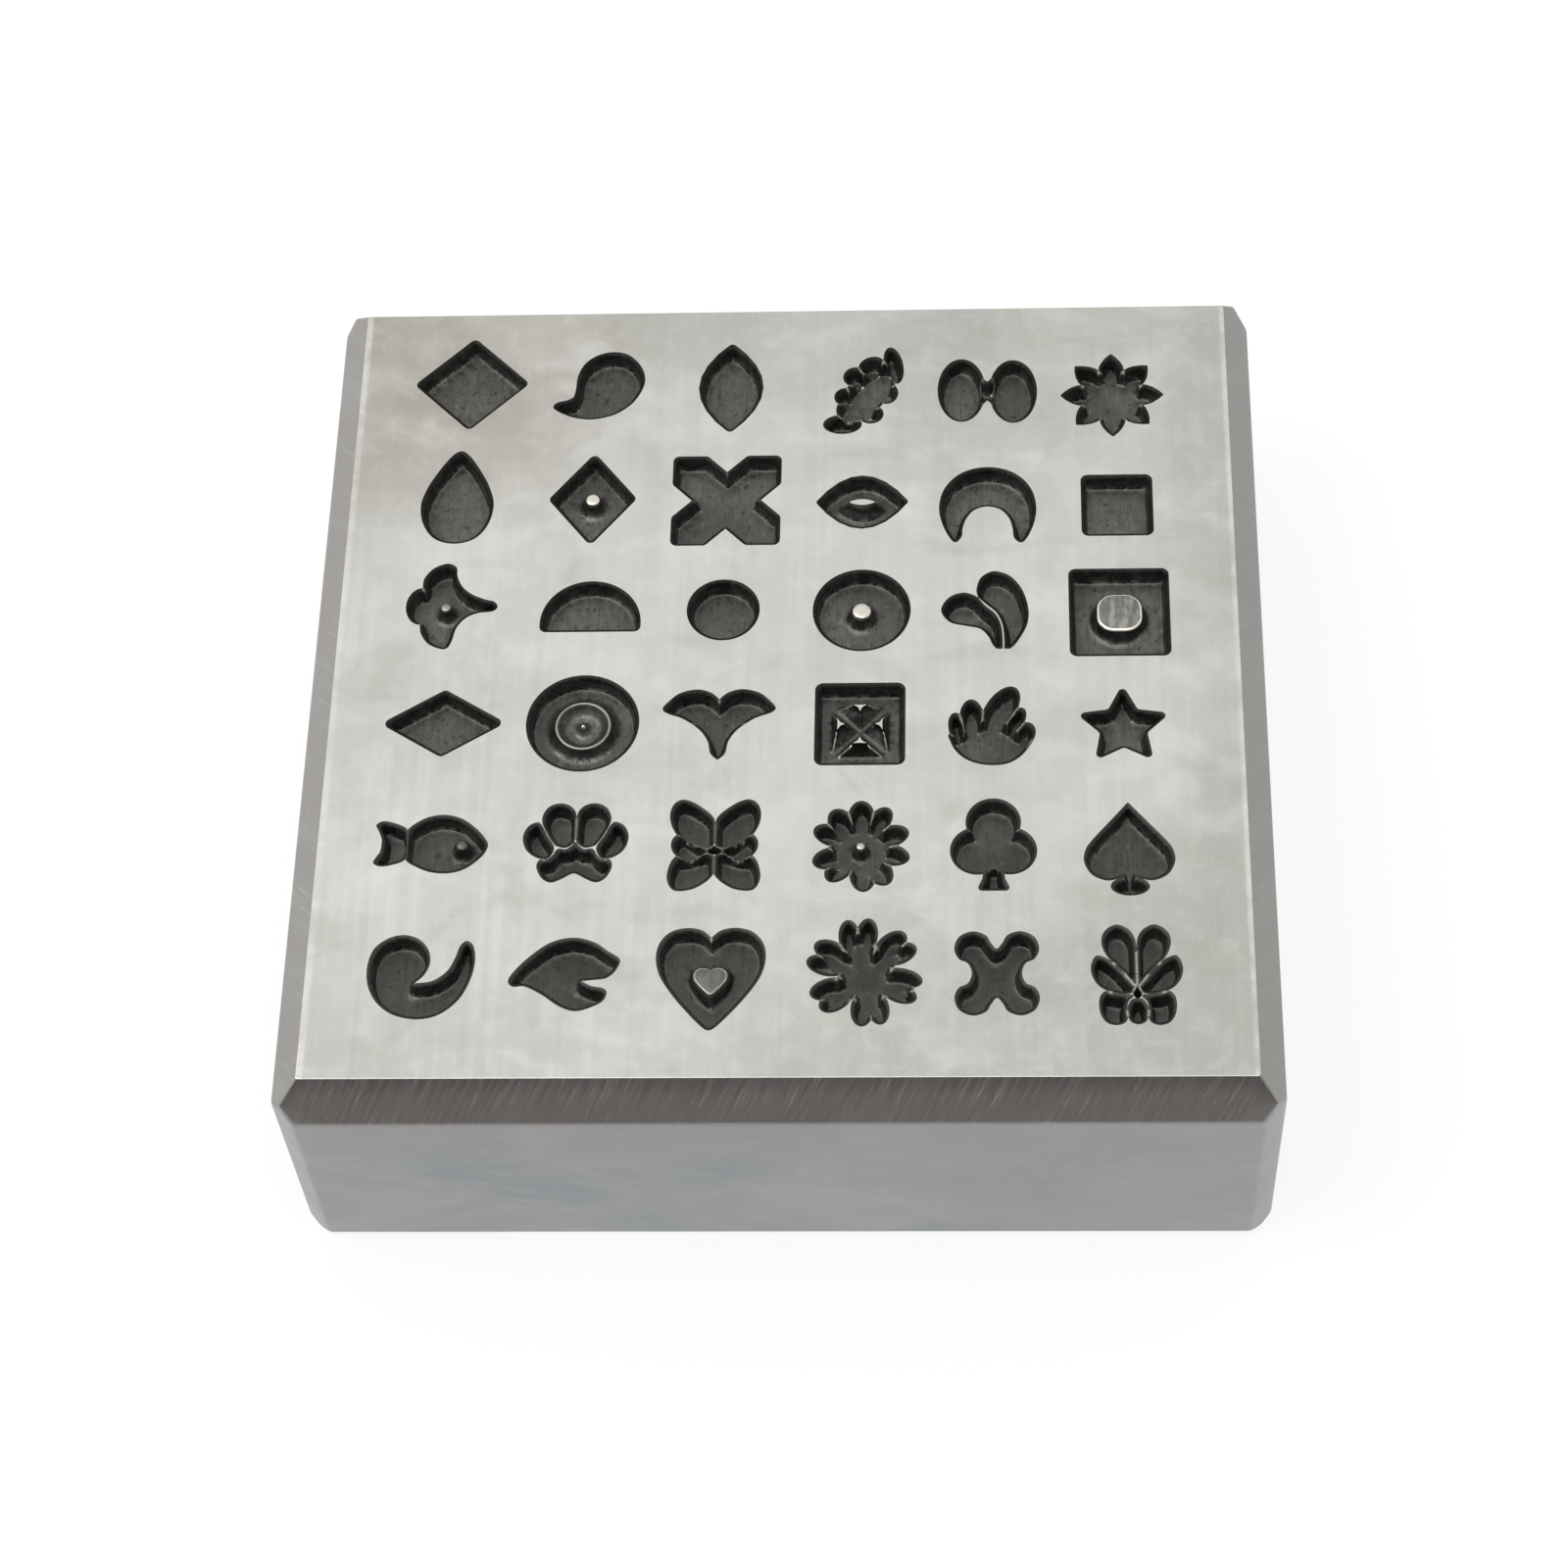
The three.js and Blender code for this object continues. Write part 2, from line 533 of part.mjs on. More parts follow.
// Four low pyramids, one along each side of a square.
function pyramids(r, { outer, inner, half, middle, top }) {
  const side = sized(r, [[outer - middle, -half], [outer - middle, half], [inner - middle, 0]]);
  return [0, 1, 2, 3].map((k) =>
    standing(side, top, [middle * r, 0]).rotate([0, 0, THREE.MathUtils.radToDeg(k * quarterTurn)]));
}

function daisy(r, { middle, long, wide, eye }) {
  const petals = Array.from({ length: daisyPetals }, (_, k) =>
    lens(long * r, wide * r, (k * fullTurn) / daisyPetals, middle * r));
  return [circle(eye * r), ...petals];
}

function starOutline(r, radius) {
  const corners = 2 * starPoints;
  const points = Array.from({ length: corners }, (_, k) => {
    const far = k % 2 ? starWaistShare * r : r;
    return new THREE.Vector2(0, far).rotateAround(origin, (k * fullTurn) / corners);
  });
  return rounded(points, radius);
}

const sinkOvals = (r, ovalShares) => pockets(ovalShares.map((share) => oval(r, share)));

// One quarter of an outline mirrored both ways.
function fourfold(quarterShares, waistShare) {
  const left = quarterShares.slice(1).reverse().map(([x, y]) => [-x, y]);
  const half = [...quarterShares, [0, waistShare], ...left];
  return [...half, ...half.map(([x, y]) => [-x, -y])];
}

// A bar across a square, from corner to corner.
function cornerBar(r) {
  const notch = crossNotchShare * r;
  return vectors([[r, notch], [r, r], [notch, r], [-r, -notch], [-r, -r], [-notch, -r]]);
}

// Loops given for the left, each with its mirror image.
function bothSides(r, ...shareLists) {
  const right = shareLists.map((shares) => shares.map(([x, y]) => [-x, y]));
  return pockets([...shareLists, ...right].map((shares) => loop(r, shares)));
}

// What each cavity takes away, with its middle at the origin of the face.
const cavity = {
  squareOnPoint: (r) => pocket(rounded(diamond(r, r), cornerRadius.squareOnPoint)),
  comma: (r) => pocket(stretches(r, [commaShares]), tightWallRun),
  marquise: (r) => pocket(lens(r, marquiseWidthShare * r, quarterTurn)),
  oakLeaf: (r) => sinkOvals(r, oakLeafOvalShares),
  twinOvals: (r) => sinkOvals(r, twinOvalShares).add(pocket(sized(r, twinOvalBridgeShares), tightWallRun)),
  daisy: (r) => pockets(daisy(r, daisyPetalShares)),
  teardrop: (r) => pocket(loop(r, mirrored(teardropHalfShares))),
  postedDiamond: (r) =>
    pocket(rounded(diamond(diamondWidthShare * r, r), cornerRadius.postedDiamond))
      .subtract(roundPost(post.diamond)),
  cross: (r) => {
    const bar = rounded(cornerBar(r), cornerRadius.cross);
    return pockets([bar, bar.map((p) => p.clone().rotateAround(origin, quarterTurn))]);
  },
  islandLens: (r) =>
    pocket(lens(r, lensWidthShare * r)).subtract(
      standing(lens(lensIslandShares.long * r, lensIslandShares.wide * r), lensIslandShares.top)),
  crescent: (r) => pocket(loop(r, crescentShares), tightWallRun),
  tile: (r) => pocket(rounded(box(tileWidthShare * r, r), cornerRadius.tile)),
  spurredScallop: (r) =>
    pocket(stretches(r, scallopShares), tightWallRun)
      .add(pocket(oval(r, scallopLobeShare)))
      .subtract(roundPost(post.scallop, scallopPostShares.map((share) => share * r))),
  halfDisc: (r) => pocket(halfDisc(r, cornerRadius.halfDisc)),
  disc: (r) => pocket(circle(r)),
  postedDisc: (r) => pocket(circle(r)).subtract(roundPost(post.disc)),
  twinBuds: (r) => pockets([stretches(r, leftBudShares), stretches(r, rightBudShares)], tightWallRun),
  postedTile: (r) =>
    pocket(rounded(box(postedTileWidthShare * r, r), cornerRadius.postedTile))
      .subtract(roundPost(post.tile)),
  rhombus: (r) => pocket(rounded(diamond(r, rhombusHeightShare * r), cornerRadius.rhombus)),
  ringedDisc: (r) => pocket(circle(r)).subtract(ringAndPeak()),
  ginkgo: (r) => pocket(stretches(r, [mirrored(ginkgoHalfShares)]), tightWallRun),
  pyramidTile: (r) =>
    pocket(rounded(box(pyramidTileWidthShare * r, r), cornerRadius.pyramidTile))
      .subtract(joined(pyramids(r, pyramidShares))),
  flameLeaf: (r) => sinkOvals(r, flameOvalShares).add(pocket(loop(r, flameBodyShares))),
  star: (r) => pocket(starOutline(r, cornerRadius.star)),
  fish: (r) =>
    pocket(loop(r, fishBodyShares))
      .add(pocket(loop(r, fishTailShares), tightWallRun))
      .subtract(roundPost(post.eye, fishEyeShares.map((share) => share * r))),
  paw: (r) =>
    bothSides(r, pawSideToeShares, pawToeShares).add(pocket(loop(r, mirrored(pawPadHalfShares)))),
  butterfly: (r) =>
    bothSides(r, upperWingShares, sideLobeShares, lowerWingShares)
      .add(pocket(oval(r, butterflyMiddleShare))),
  postedFlower: (r) => sinkOvals(r, postedFlowerOvalShares).subtract(roundPost(post.flower)),
  club: (r) =>
    sinkOvals(r, clubDiscShares)
      .add(pocket(rounded(sized(r, clubStemShares), cornerRadius.stem))),
  spade: (r) =>
    pocket(stretches(r, [mirrored(spadeHalfShares)]))
      .add(pocket(sized(r, spadeNeckShares), tightWallRun))
      .add(pocket(oval(r, spadeFootShare))),
  hook: (r) => pocket(stretches(r, [hookShares]), tightWallRun),
  wing: (r) => pocket(stretches(r, [wingShares]), tightWallRun),
  islandHeart: (r) =>
    pocket(stretches(r, [mirrored(heartHalfShares)])).subtract(
      standing(
        stretches(heartIslandShares.size * r, [mirrored(heartHalfShares)]),
        heartIslandShares.top,
        [0, heartIslandShares.shift * r],
      )),
  clovenFlower: (r) => sinkOvals(r, clovenFlowerOvalShares),
  fourLobes: (r) => pocket(loop(r, fourfold(fourLobesQuarterShares, fourLobesWaistShare))),
  lotus: (r) =>
    bothSides(r, lotusTopShares, lotusSideShares, lotusFootShares)
      .add(pocket(loop(r, mirrored(lotusSeedHalfShares))))
      .add(pocket(oval(r, lotusMiddleShare))),
};

// Each corner of an outline cut off by its own leg.
function cutCorners(points, legs) {
  const count = points.length;
  return points.flatMap((corner, i) => {
    const sides = [points[(i + count - 1) % count], points[(i + 1) % count]];
    return sides.map((next) => next.clone().sub(corner).setLength(legs[i]).add(corner));
  });
}

// Takes off what lies past one bevel's plane. The bevel's side is given by its distance and its turn.
function bevelled(solid, { run, drop }, distance, turn) {
  const inward = new THREE.Vector3(-drop, 0, -run).normalize();
  const offset = inward.dot(new THREE.Vector3(distance, 0, plateHeight - drop));
  const { x, y, z } = inward.applyAxisAngle(new THREE.Vector3(0, 0, 1), turn);
  return solid.trimByPlane([x, y, z], offset);
}

// The block before its cavities are cut: trimmed upright corners, a small foot bevel and four face bevels.
function block() {
  const [x, y] = [plateWidth / 2, plateDepth / 2];
  const { frontRight, backRight, backLeft, frontLeft } = uprightLeg;
  const plan = rounded(cutCorners(box(x, y), [frontRight, backRight, backLeft, frontLeft]), uprightEase);
  const geometry = new THREE.ExtrudeGeometry(new THREE.Shape(plan), {
    depth: plateHeight,
    bevelThickness: footBevel,
    bevelSize: footBevel,
    bevelOffset: -footBevel,
    bevelSegments: 1,
  });
  const upright = solidOf(geometry.translate(0, 0, footBevel)).trimByPlane([0, 0, -1], -plateHeight);
  const sides = [[bevel.right, x], [bevel.back, y], [bevel.left, x], [bevel.front, y]];
  return sides.reduce((solid, [cut, side], k) => bevelled(solid, cut, side, k * quarterTurn), upright);
}

function plateSolid() {
  const cuts = Object.entries(cavity).map(([name, cut]) => {
    const [x, y] = placeShares[name];
    return cut(reach[name]).translate([x * pitch, y * pitch, 0]);
  });
  return cuts.reduce((solid, cut) => solid.subtract(cut), block());
}

function groundSteel() {
  return new THREE.MeshStandardMaterial({
    color: 0xc9c9c4,
    roughness: 0.38,
    metalness: 0.9,
    flatShading: true,
  });
}

function plateBlock() {
  const plate = new THREE.Mesh(geometryOf(plateSolid()), groundSteel());
  plate.name = "plate_block";
  return plate;
}

const shotPlate = new THREE.Group();
shotPlate.add(plateBlock());

export default shotPlate;
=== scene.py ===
import math
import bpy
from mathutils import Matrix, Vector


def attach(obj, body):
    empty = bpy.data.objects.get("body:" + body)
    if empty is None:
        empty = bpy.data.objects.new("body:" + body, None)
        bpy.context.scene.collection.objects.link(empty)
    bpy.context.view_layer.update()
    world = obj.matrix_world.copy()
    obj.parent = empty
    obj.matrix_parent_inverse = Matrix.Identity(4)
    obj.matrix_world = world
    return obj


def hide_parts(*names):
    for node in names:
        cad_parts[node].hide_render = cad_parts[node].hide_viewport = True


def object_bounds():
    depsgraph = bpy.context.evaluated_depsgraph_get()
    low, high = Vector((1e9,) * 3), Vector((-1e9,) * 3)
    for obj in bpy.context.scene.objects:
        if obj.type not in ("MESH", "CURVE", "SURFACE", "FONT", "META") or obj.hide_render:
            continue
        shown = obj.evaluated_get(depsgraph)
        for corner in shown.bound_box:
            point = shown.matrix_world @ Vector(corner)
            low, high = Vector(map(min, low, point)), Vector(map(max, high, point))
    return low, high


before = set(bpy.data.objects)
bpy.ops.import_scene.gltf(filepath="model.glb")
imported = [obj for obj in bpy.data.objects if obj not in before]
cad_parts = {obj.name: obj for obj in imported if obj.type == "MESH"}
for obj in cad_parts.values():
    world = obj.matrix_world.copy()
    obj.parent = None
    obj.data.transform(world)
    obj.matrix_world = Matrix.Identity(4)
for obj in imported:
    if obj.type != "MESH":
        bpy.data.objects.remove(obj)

from types import SimpleNamespace

import bpy
import numpy as np
from mathutils import Matrix, Vector
from mathutils.geometry import delaunay_2d_cdt

START_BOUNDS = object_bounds()
MM = 0.001

# The block, in millimetres. Its width and height are the frame's.
HALF = round(START_BOUNDS[1].x / MM, 3)
HEIGHT = round(START_BOUNDS[1].z / MM, 3)
# How far in and how far down each bevel goes: right, back, left and front.
BEVELS = ((1.75, 2.45), (1.75, 2.45), (1.9, 2.5), (1.9, 2.85))
FOOT_BEVEL = 0.4
# How far the cut across each upright corner runs back: back right, back left, front left, front right.
UPRIGHT_LEGS = (1.9, 1.45, 1.45, 1.4)
LEAST_LEG = 0.12
# How far the softening of each edge reaches along the flats beside it.
FACE_EDGE = 0.06
BEVEL_EDGE = 0.22
FOOT_EDGE = 0.12
SOLE_EDGE = 0.08
UPRIGHT_EDGE = 0.28
# The softening of an upright edge is at most this share of its cut, and each takes this many points.
UPRIGHT_EDGE_SHARE = 0.45
EDGE_POINTS = 5
CORNER_POINTS = 2 * EDGE_POINTS
# Down to this share of its softened edge the face has its own steel. Sharper turns than this are edges.
FACE_EDGE_SHARE = 0.2
SHARP_TURN = math.radians(33)
# Which steel each part of the mesh gets.
FACE, CAVITY, BEVEL, SIDE, ISLAND_TOP = range(5)
# How far a side's profile runs on over the face and the underside.
PROFILE_END = 1.0

# The wall of a cavity: a worn rim, a steep draft and a cove that runs out into the floor.
PITCH = 9.0
SINK = 1.2
WALL_RUN = 0.5
RIM_RUN = 0.28
RIM_DROP = 0.2
# The share of its drop that the rim has at the middle of its run.
RIM_MIDDLE = 0.3
DRAFT_RUN = 0.35
DRAFT_DEPTH = 0.86
# The run of a wall is at most this share of half its lobe's width.
WIDEST_RUN = 0.85
# Lobes that share a ridge grow by this, so that the ridge stands just below the face.
LOBE_GROWTH = 0.06
RIDGE_HALF = 0.07
# How brightly the ridges of each cavity are worn and lit with painted highlight, and how that fades on the
# way down the wall.
RIDGE_WEAR_AND_SHEEN = {"butterfly": 0.13, "spade": 0.05, "club": 0.08, "fish": 0.04, "lotus": 0.42, "paw": 0.26,
              "ginkgo": 0.25, "island_heart": 0.35, "twin_ovals": 0.1, "cross": 0.1}
COMMON_WEAR_AND_SHEEN = 0.3
WEAR_AND_SHEEN_FADE = ((0, 0.35, 0.95), (1, 0.75, 0))
# Steel this near the face is worn and given painted highlight on the islands, whose corner lines fade
# between two depths.
WEAR_AND_SHEEN_DEPTH = 0.13
CORNER_FADE = (0.6 * SINK, 0.97 * SINK)

# Fineness of the mesh, in millimetres.
RIM_STEP = 0.055
GRID_STEP = 0.13
CREST_STEP = 0.06
WIDTH_STEP = 0.16
RUNG_STEP = 0.09
ROUND_STEP = 0.28
BORDER_STEP = 1.5
BORDER_LEAST = 2.0
# The depths at which a wall gets a row of points, in shares of its run.
RING_SHARES = (0.28, 0.56, 0.63, 0.7, 0.76, 0.83, 0.91, 1.0)
# The least gaps between points, by kind.
CREST_CELL = 0.035
LOOSE_CELL = 0.03
CREST_GAPS = SimpleNamespace(rim=0.02, island=0.03)
LOOSE_GAPS = SimpleNamespace(rim=0.012, island=0.07, crest=0.03)
# How far round an outline the distance to it is worked out.
OUTSIDE = 0.25
# Turns from which a point of an outline counts as a corner or as a bend, in radians.
CORNER_TURN = 0.7
BEND_TURN = 0.25
# Points in an oval, in a bow, in a corner's arc, in a side of a lens and between two points of a curve.
OVAL_POINTS = 180
BOW_STEPS = 60
ARC_STEPS = 8
LENS_STEPS = 8
CURVE_STEPS = 12
# A row of points is kept where it is this share of its distance inside, and left out where another lobe's
# wall lies deeper. Rows past the last share are thinned, and so are the floors.
ROW_KEPT = 0.97
DEEPER = 0.01
THINNED_SHARE = 0.9
FLOOR_THINNING = 5
GRID_DEPTHS = (0.02, SINK - 0.001)
# The walls' ridges are traced from this share on, where the lobes' shares change by this much at least.
CREST_START = 0.01
LEAST_CHANGE = 1e-3
# The outline of an island's top gets every third of its points, where the top isn't flush with the face.
TOP_THINNING = 3
# A corner of an island that points at the cavity's middle from farther off than this isn't worn.
CORNER_LIMIT = 1.0
# Points of one lobe's rim count as buried in another from this far inside.
BURIED = 0.004
# Rim points less deep than this belong to the face.
RIM_SNAP = 0.2
# A depth below every floor, for where no island stands.
NOWHERE = 9.0
# How many points are measured at a time, and how many cells a row of them can have.
BATCH = 1500
CELLS_IN_ROW = 100003
# Decimals by which points and levels count as the same, and other small margins.
DECIMALS = 3
LEVEL_DECIMALS = 4
CLOSE = 1e-4
NEAR = 1e-5
SAME = 1e-9
TINY = 1e-12


# Outlines

def resample(points, step, closed=True):
    """Even points along a polyline; an open one keeps its first point only."""
    line = np.vstack([points, points[:1]]) if closed else np.asarray(points)
    lengths = np.r_[0, np.cumsum(np.hypot(*np.diff(line, axis=0).T))]
    count = max(2, int(round(lengths[-1] / step)))
    at = np.linspace(0, lengths[-1], count + 1)[:-1]
    return np.c_[np.interp(at, lengths, line[:, 0]), np.interp(at, lengths, line[:, 1])]


def in_shares(hundredths):
    return (np.array(hundredths, float) / 100).round(4)


def oval(r, numbers):
    """An oval from its middle and half axes, in hundredths of the reach, and its turn in degrees."""
    x, y, long, wide = in_shares(numbers[:4])
    turn = math.radians(numbers[4])
    t = np.linspace(0, 2 * math.pi, OVAL_POINTS + 1)[:-1]
    c, s = math.cos(turn), math.sin(turn)
    u, v = long * np.cos(t), wide * np.sin(t)
    return resample(r * np.c_[x + c * u - s * v, y + s * u + c * v], RIM_STEP)


def ovals(r, table):
    return [oval(r, numbers) for numbers in table]


def circle(r):
    return oval(r, (0, 0, 100, 100, 0))


def catmull(points, closed):
    """A smooth curve through the points."""
    if closed:
        padded = np.vstack([points[-1:], points, points[:2]])
    else:
        padded = np.vstack([points[:1], points, points[-1:]])
    t = np.linspace(0, 1, CURVE_STEPS + 1)[:-1, None]
    curve = []
    for a, b, c, d in zip(padded, padded[1:], padded[2:], padded[3:]):
        curve.append(0.5 * (2 * b + (c - a) * t + (2 * a - 5 * b + 4 * c - d) * t ** 2
                            + (3 * b - a - 3 * c + d) * t ** 3))
    if not closed:
        curve.append(points[-1:])
    return np.vstack(curve)


def loop(r, table):
    return resample(r * catmull(in_shares(table), True), RIM_STEP)


def stretches(r, lists):
    """Smooth stretches that meet in corners, each at the first point of the next."""
    runs = []
    for table, after in zip(lists, lists[1:] + lists[:1]):
        curve = catmull(in_shares(list(table) + [after[0]]), False)
        runs.append(resample(r * curve, RIM_STEP, closed=False))
    return np.vstack(runs)


def polygon(points):
    points = np.asarray(points, float)
    sides = zip(points, np.roll(points, -1, 0))
    return np.vstack([resample(np.array(side), RIM_STEP, closed=False) for side in sides])


def rounded(points, radius):
    """A polygon with arcs of a radius for corners."""
    points = np.asarray(points, float)
    out = []
    for before, corner, after in zip(np.roll(points, 1, 0), points, np.roll(points, -1, 0)):
        u, v = before - corner, after - corner
        lu, lv = np.hypot(*u), np.hypot(*v)
        half = math.acos(np.clip(u @ v / (lu * lv), -1, 1)) / 2
        trim = min(radius / math.tan(half), lu / 2, lv / 2)
        start, end = u / lu * trim, v / lv * trim
        middle = (start + end) / np.hypot(*(start + end)) * trim / math.cos(half)
        a, b = start - middle, end - middle
        sweep = math.atan2(a[0] * b[1] - a[1] * b[0], a @ b)
        for k in range(ARC_STEPS + 1):
            c, s = math.cos(sweep * k / ARC_STEPS), math.sin(sweep * k / ARC_STEPS)
            out.append(corner + middle + np.array([c * a[0] - s * a[1], s * a[0] + c * a[1]]))
    return resample(np.array(out), RIM_STEP)


def box(x, y):
    return [(x, -y), (x, y), (-x, y), (-x, -y)]


def diamond(x, y):
    return [(x, 0), (0, y), (-x, 0), (0, -y)]


def turned(points, degrees):
    c, s = math.cos(math.radians(degrees)), math.sin(math.radians(degrees))
    return np.asarray(points) @ np.array([[c, s], [-s, c]])


def lens(long, wide, turn=0.0, middle=0.0):
    """The points of two bows that meet in a tip at either end."""
    x = np.linspace(-1, 1, LENS_STEPS + 1)[:-1, None]
    low = np.hstack([x * long + middle, -wide * (1 - x ** 2)])
    high = np.hstack([-x * long + middle, wide * (1 - x ** 2)])
    return turned(np.vstack([low, high]), turn)


def mirrored(table):
    return list(table) + [(-x, y) for x, y in reversed(table) if x > 0]


def fourfold(quarter, waist):
    half = list(quarter) + [(0, waist)] + [(-x, y) for x, y in reversed(quarter[1:])]
    return half + [(-x, -y) for x, y in half]


def half_disc(r, lift, base, radius):
    """A bow, sunk by a share of its reach, over a flat base with rounded corners."""
    t = np.linspace(0, math.pi, BOW_STEPS + 1)
    bow = np.c_[r * np.cos(t), r * np.sin(t) - lift * r]
    a = np.linspace(0, math.pi / 2, ARC_STEPS + 1)
    near, far = radius * (1 - np.cos(a)), radius * (1 - np.sin(a))
    left = np.c_[near - r, far - base * r]
    right = np.c_[r - far, near - base * r]
    return resample(np.vstack([bow, left, right]), RIM_STEP)


def star(r, waist, points, radius):
    reaches = [r, waist * r] * points
    corners = [turned([(0, reach)], k * 180 / points)[0] for k, reach in enumerate(reaches)]
    return rounded(corners, radius)


def outward(outline):
    """Vectors out of a closed outline at each of its points."""
    along = np.roll(outline, -1, 0) - np.roll(outline, 1, 0)
    x, y = outline.T
    area = (x * np.roll(y, -1) - y * np.roll(x, -1)).sum()
    return np.c_[along[:, 1], -along[:, 0]] * np.sign(area)


def grown(outline):
    """The outline moved out, so that the ridges between lobes stand just below the face."""
    normal = outward(outline)
    return outline + LOBE_GROWTH * normal / np.hypot(*normal.T)[:, None]


def both_sides(r, *tables):
    """Loops given for the left, grown, each with its mirror image."""
    left = [grown(loop(r, table)) for table in tables]
    return left + [outline[::-1] * [-1, 1] for outline in left]


def two_lobes(r, half, reach_in):
    """A notched outline as two lobes: each wall runs straight on past the notch into the other lobe. At the
    tip, each lobe goes some way up the other side."""
    half = in_shares(half)
    along = half[1] - half[0]
    past = half[0] - along / np.hypot(*along) * reach_in
    curve = catmull(half, False)
    other_side = curve[::-1] * [-1, 1]
    right = resample(r * np.vstack([curve, other_side[1:len(curve) // 3], [past]]), RIM_STEP)
    return [right, right[::-1] * [-1, 1]]


def corner_bar(r, share):
    """A bar across a square, from corner to corner."""
    n = share * r
    return [(r, n), (r, r), (n, r), (-r, -n), (-r, -r), (-n, -r)]


# The outlines of the cavities and of their lobes, read off the photo, in hundredths of the cavity's
# reach. A list of five numbers is an oval: its middle, its half axes and its turn in degrees.
COMMA = [
    (-57, -31), (-53, -10), (-50, 27), (-36, 61), (-10, 84), (23, 94), (57, 88), (83, 65), (98, 36),
    (101, 6), (90, -27), (70, -56), (36, -81), (-9, -93), (-49, -89), (-79, -77), (-97, -65), (-101, -55),
    (-92, -45), (-71, -39),
]
OAK_LEAF = [
    (9, -3, 80, 39, 58), (56, 57, 43, 18, 100), (15, 56, 26, 21, 30), (-15, 31, 23, 23, 0),
    (-33, -15, 21, 21, 0), (43, -7, 22, 25, 0), (14, -55, 24, 22, 0), (-38, -78, 36, 22, 0),
    (-30, -45, 28, 20, 90),
]
TEARDROP = [(0, 100), (8, 97), (20, 84), (37, 57), (54, 23), (64.5, -16), (58, -57), (36, -89), (0, -100)]
CRESCENT = [
    (-79, -80), (-93, -46), (-99, -8), (-91, 33), (-69, 66), (-38, 86), (0, 93), (38, 86), (69, 66),
    (91, 33), (99, -8), (94, -48), (80, -83), (67, -96), (53, -84), (50, -60), (43, -35), (26, -14),
    (0, -6), (-26, -14), (-43, -35), (-51, -60), (-53, -80), (-66, -94),
]
SCALLOP = [
    [(-59, 43), (-57, 65), (-40, 88), (-14, 99), (4, 90), (8, 67), (19, 44), (39, 26), (65, 14), (82, 9),
     (90, -3), (81, -14), (52, -18), (29, -30), (13, -52), (6, -81), (-2, -98), (-16, -100), (-40, -88),
     (-55, -66)],
    [(-59, -46), (-68, -22), (-72, 0), (-68, 21)],
]
LEFT_BUD = [
    [(-14, 33), (-28, 41), (-46, 45), (-72, 36), (-90, 13), (-91, -9), (-72, -32), (-38, -41), (-9, -49),
     (8, -69), (16, -88)],
    [(25, -100)],
    [(38, -100), (38, -69), (34, -36), (22, -9), (1, 12)],
]
RIGHT_BUD = [
    [(-14, 33), (-17, 53), (-9, 81), (10, 97), (30, 99), (59, 84), (83, 47), (94, -1), (90, -40),
     (74, -74), (62, -92)],
    [(53, -100)],
    [(41, -100), (41, -69), (37, -35), (25, -7), (4, 14)],
]
GINKGO = [
    (0, 52), (15, 66), (40, 73), (70, 65.5), (90, 48), (100, 33), (91, 23), (63, 11.5), (34.5, -10.5),
    (18.5, -35), (13, -60), (0, -74),
]
FLAME_LOBES = [
    (-70, -6, 41, 20, 100), (-40, 16, 52, 27, 92), (21, 41, 65, 33, 61), (50, 8, 42, 20, 62),
    (69, -26, 37, 24, 65),
]
FLAME_BODY = [
    (-90, -20), (-86, -39), (-76, -60), (-57, -80), (-30, -93), (2, -98), (35, -94), (60, -79), (78, -58),
    (90, -34), (78, -18), (55, -2), (28, 20), (-12, 24), (-45, 10), (-70, -10),
]
FISH_BODY = [
    (-48, 0), (-44, 29), (-25, 47), (-4, 57), (22, 60), (51, 52), (77, 32), (93, 13), (100, -2), (94, -20),
    (77, -39), (56, -53), (30, -59), (1, -56), (-25, -45), (-44, -30),
]
FISH_TAIL = [
    (-38, 0), (-44, 30), (-63, 42), (-87, 48), (-100, 40), (-95, 28), (-89, 13), (-88, 0), (-90, -15),
    (-97, -27), (-100, -37), (-88, -44), (-66, -41), (-44, -30),
]
PAW_SIDE_TOE = [
    (-76, 44), (-90, 37), (-98.5, 22), (-100, 6), (-94, -13), (-81, -27), (-66, -34), (-53, -34.5),
    (-44, -22), (-43, -8), (-57, 16), (-68, 38),
]
PAW_TOE = [
    (-34, 86), (-52, 80), (-63, 64), (-64.5, 45), (-54, 20), (-41, -1), (-34, -7), (-18, -10), (-6, -1),
    (-1.2, 12), (-1.2, 36), (-2, 58), (-6, 71), (-17, 82),
]
PAW_PAD = [
    (0, 1), (5, -7), (17, -16), (33, -15.5), (41, -28), (52, -38.5), (66, -39), (71, -52), (65, -70),
    (55, -82), (41, -86.5), (22, -78), (9, -70), (0, -67),
]
UPPER_WING = [
    (-64, 99), (-79, 90), (-85.5, 71), (-84, 50), (-76, 30), (-62, 12), (-42, -1), (-22, -7), (-6, -5),
    (-1.2, 10), (-1.2, 35), (-3, 54), (-10, 66), (-24, 79), (-44, 93),
]
SIDE_LOBE = [
    (-70, 22), (-79, 13), (-82, 0), (-79, -13), (-70, -25), (-55, -36), (-34, -32), (-10, -12), (-34, 8),
    (-54, 24),
]
LOWER_WING = [
    (-72, -26), (-82, -41), (-87.5, -66), (-84.5, -85), (-75.5, -97.5), (-60.5, -100), (-39, -95.5),
    (-21, -85), (-7.5, -72.5), (-1.2, -60), (-1.2, -35), (-5, -20), (-20, -14), (-40, -20), (-58, -24),
]
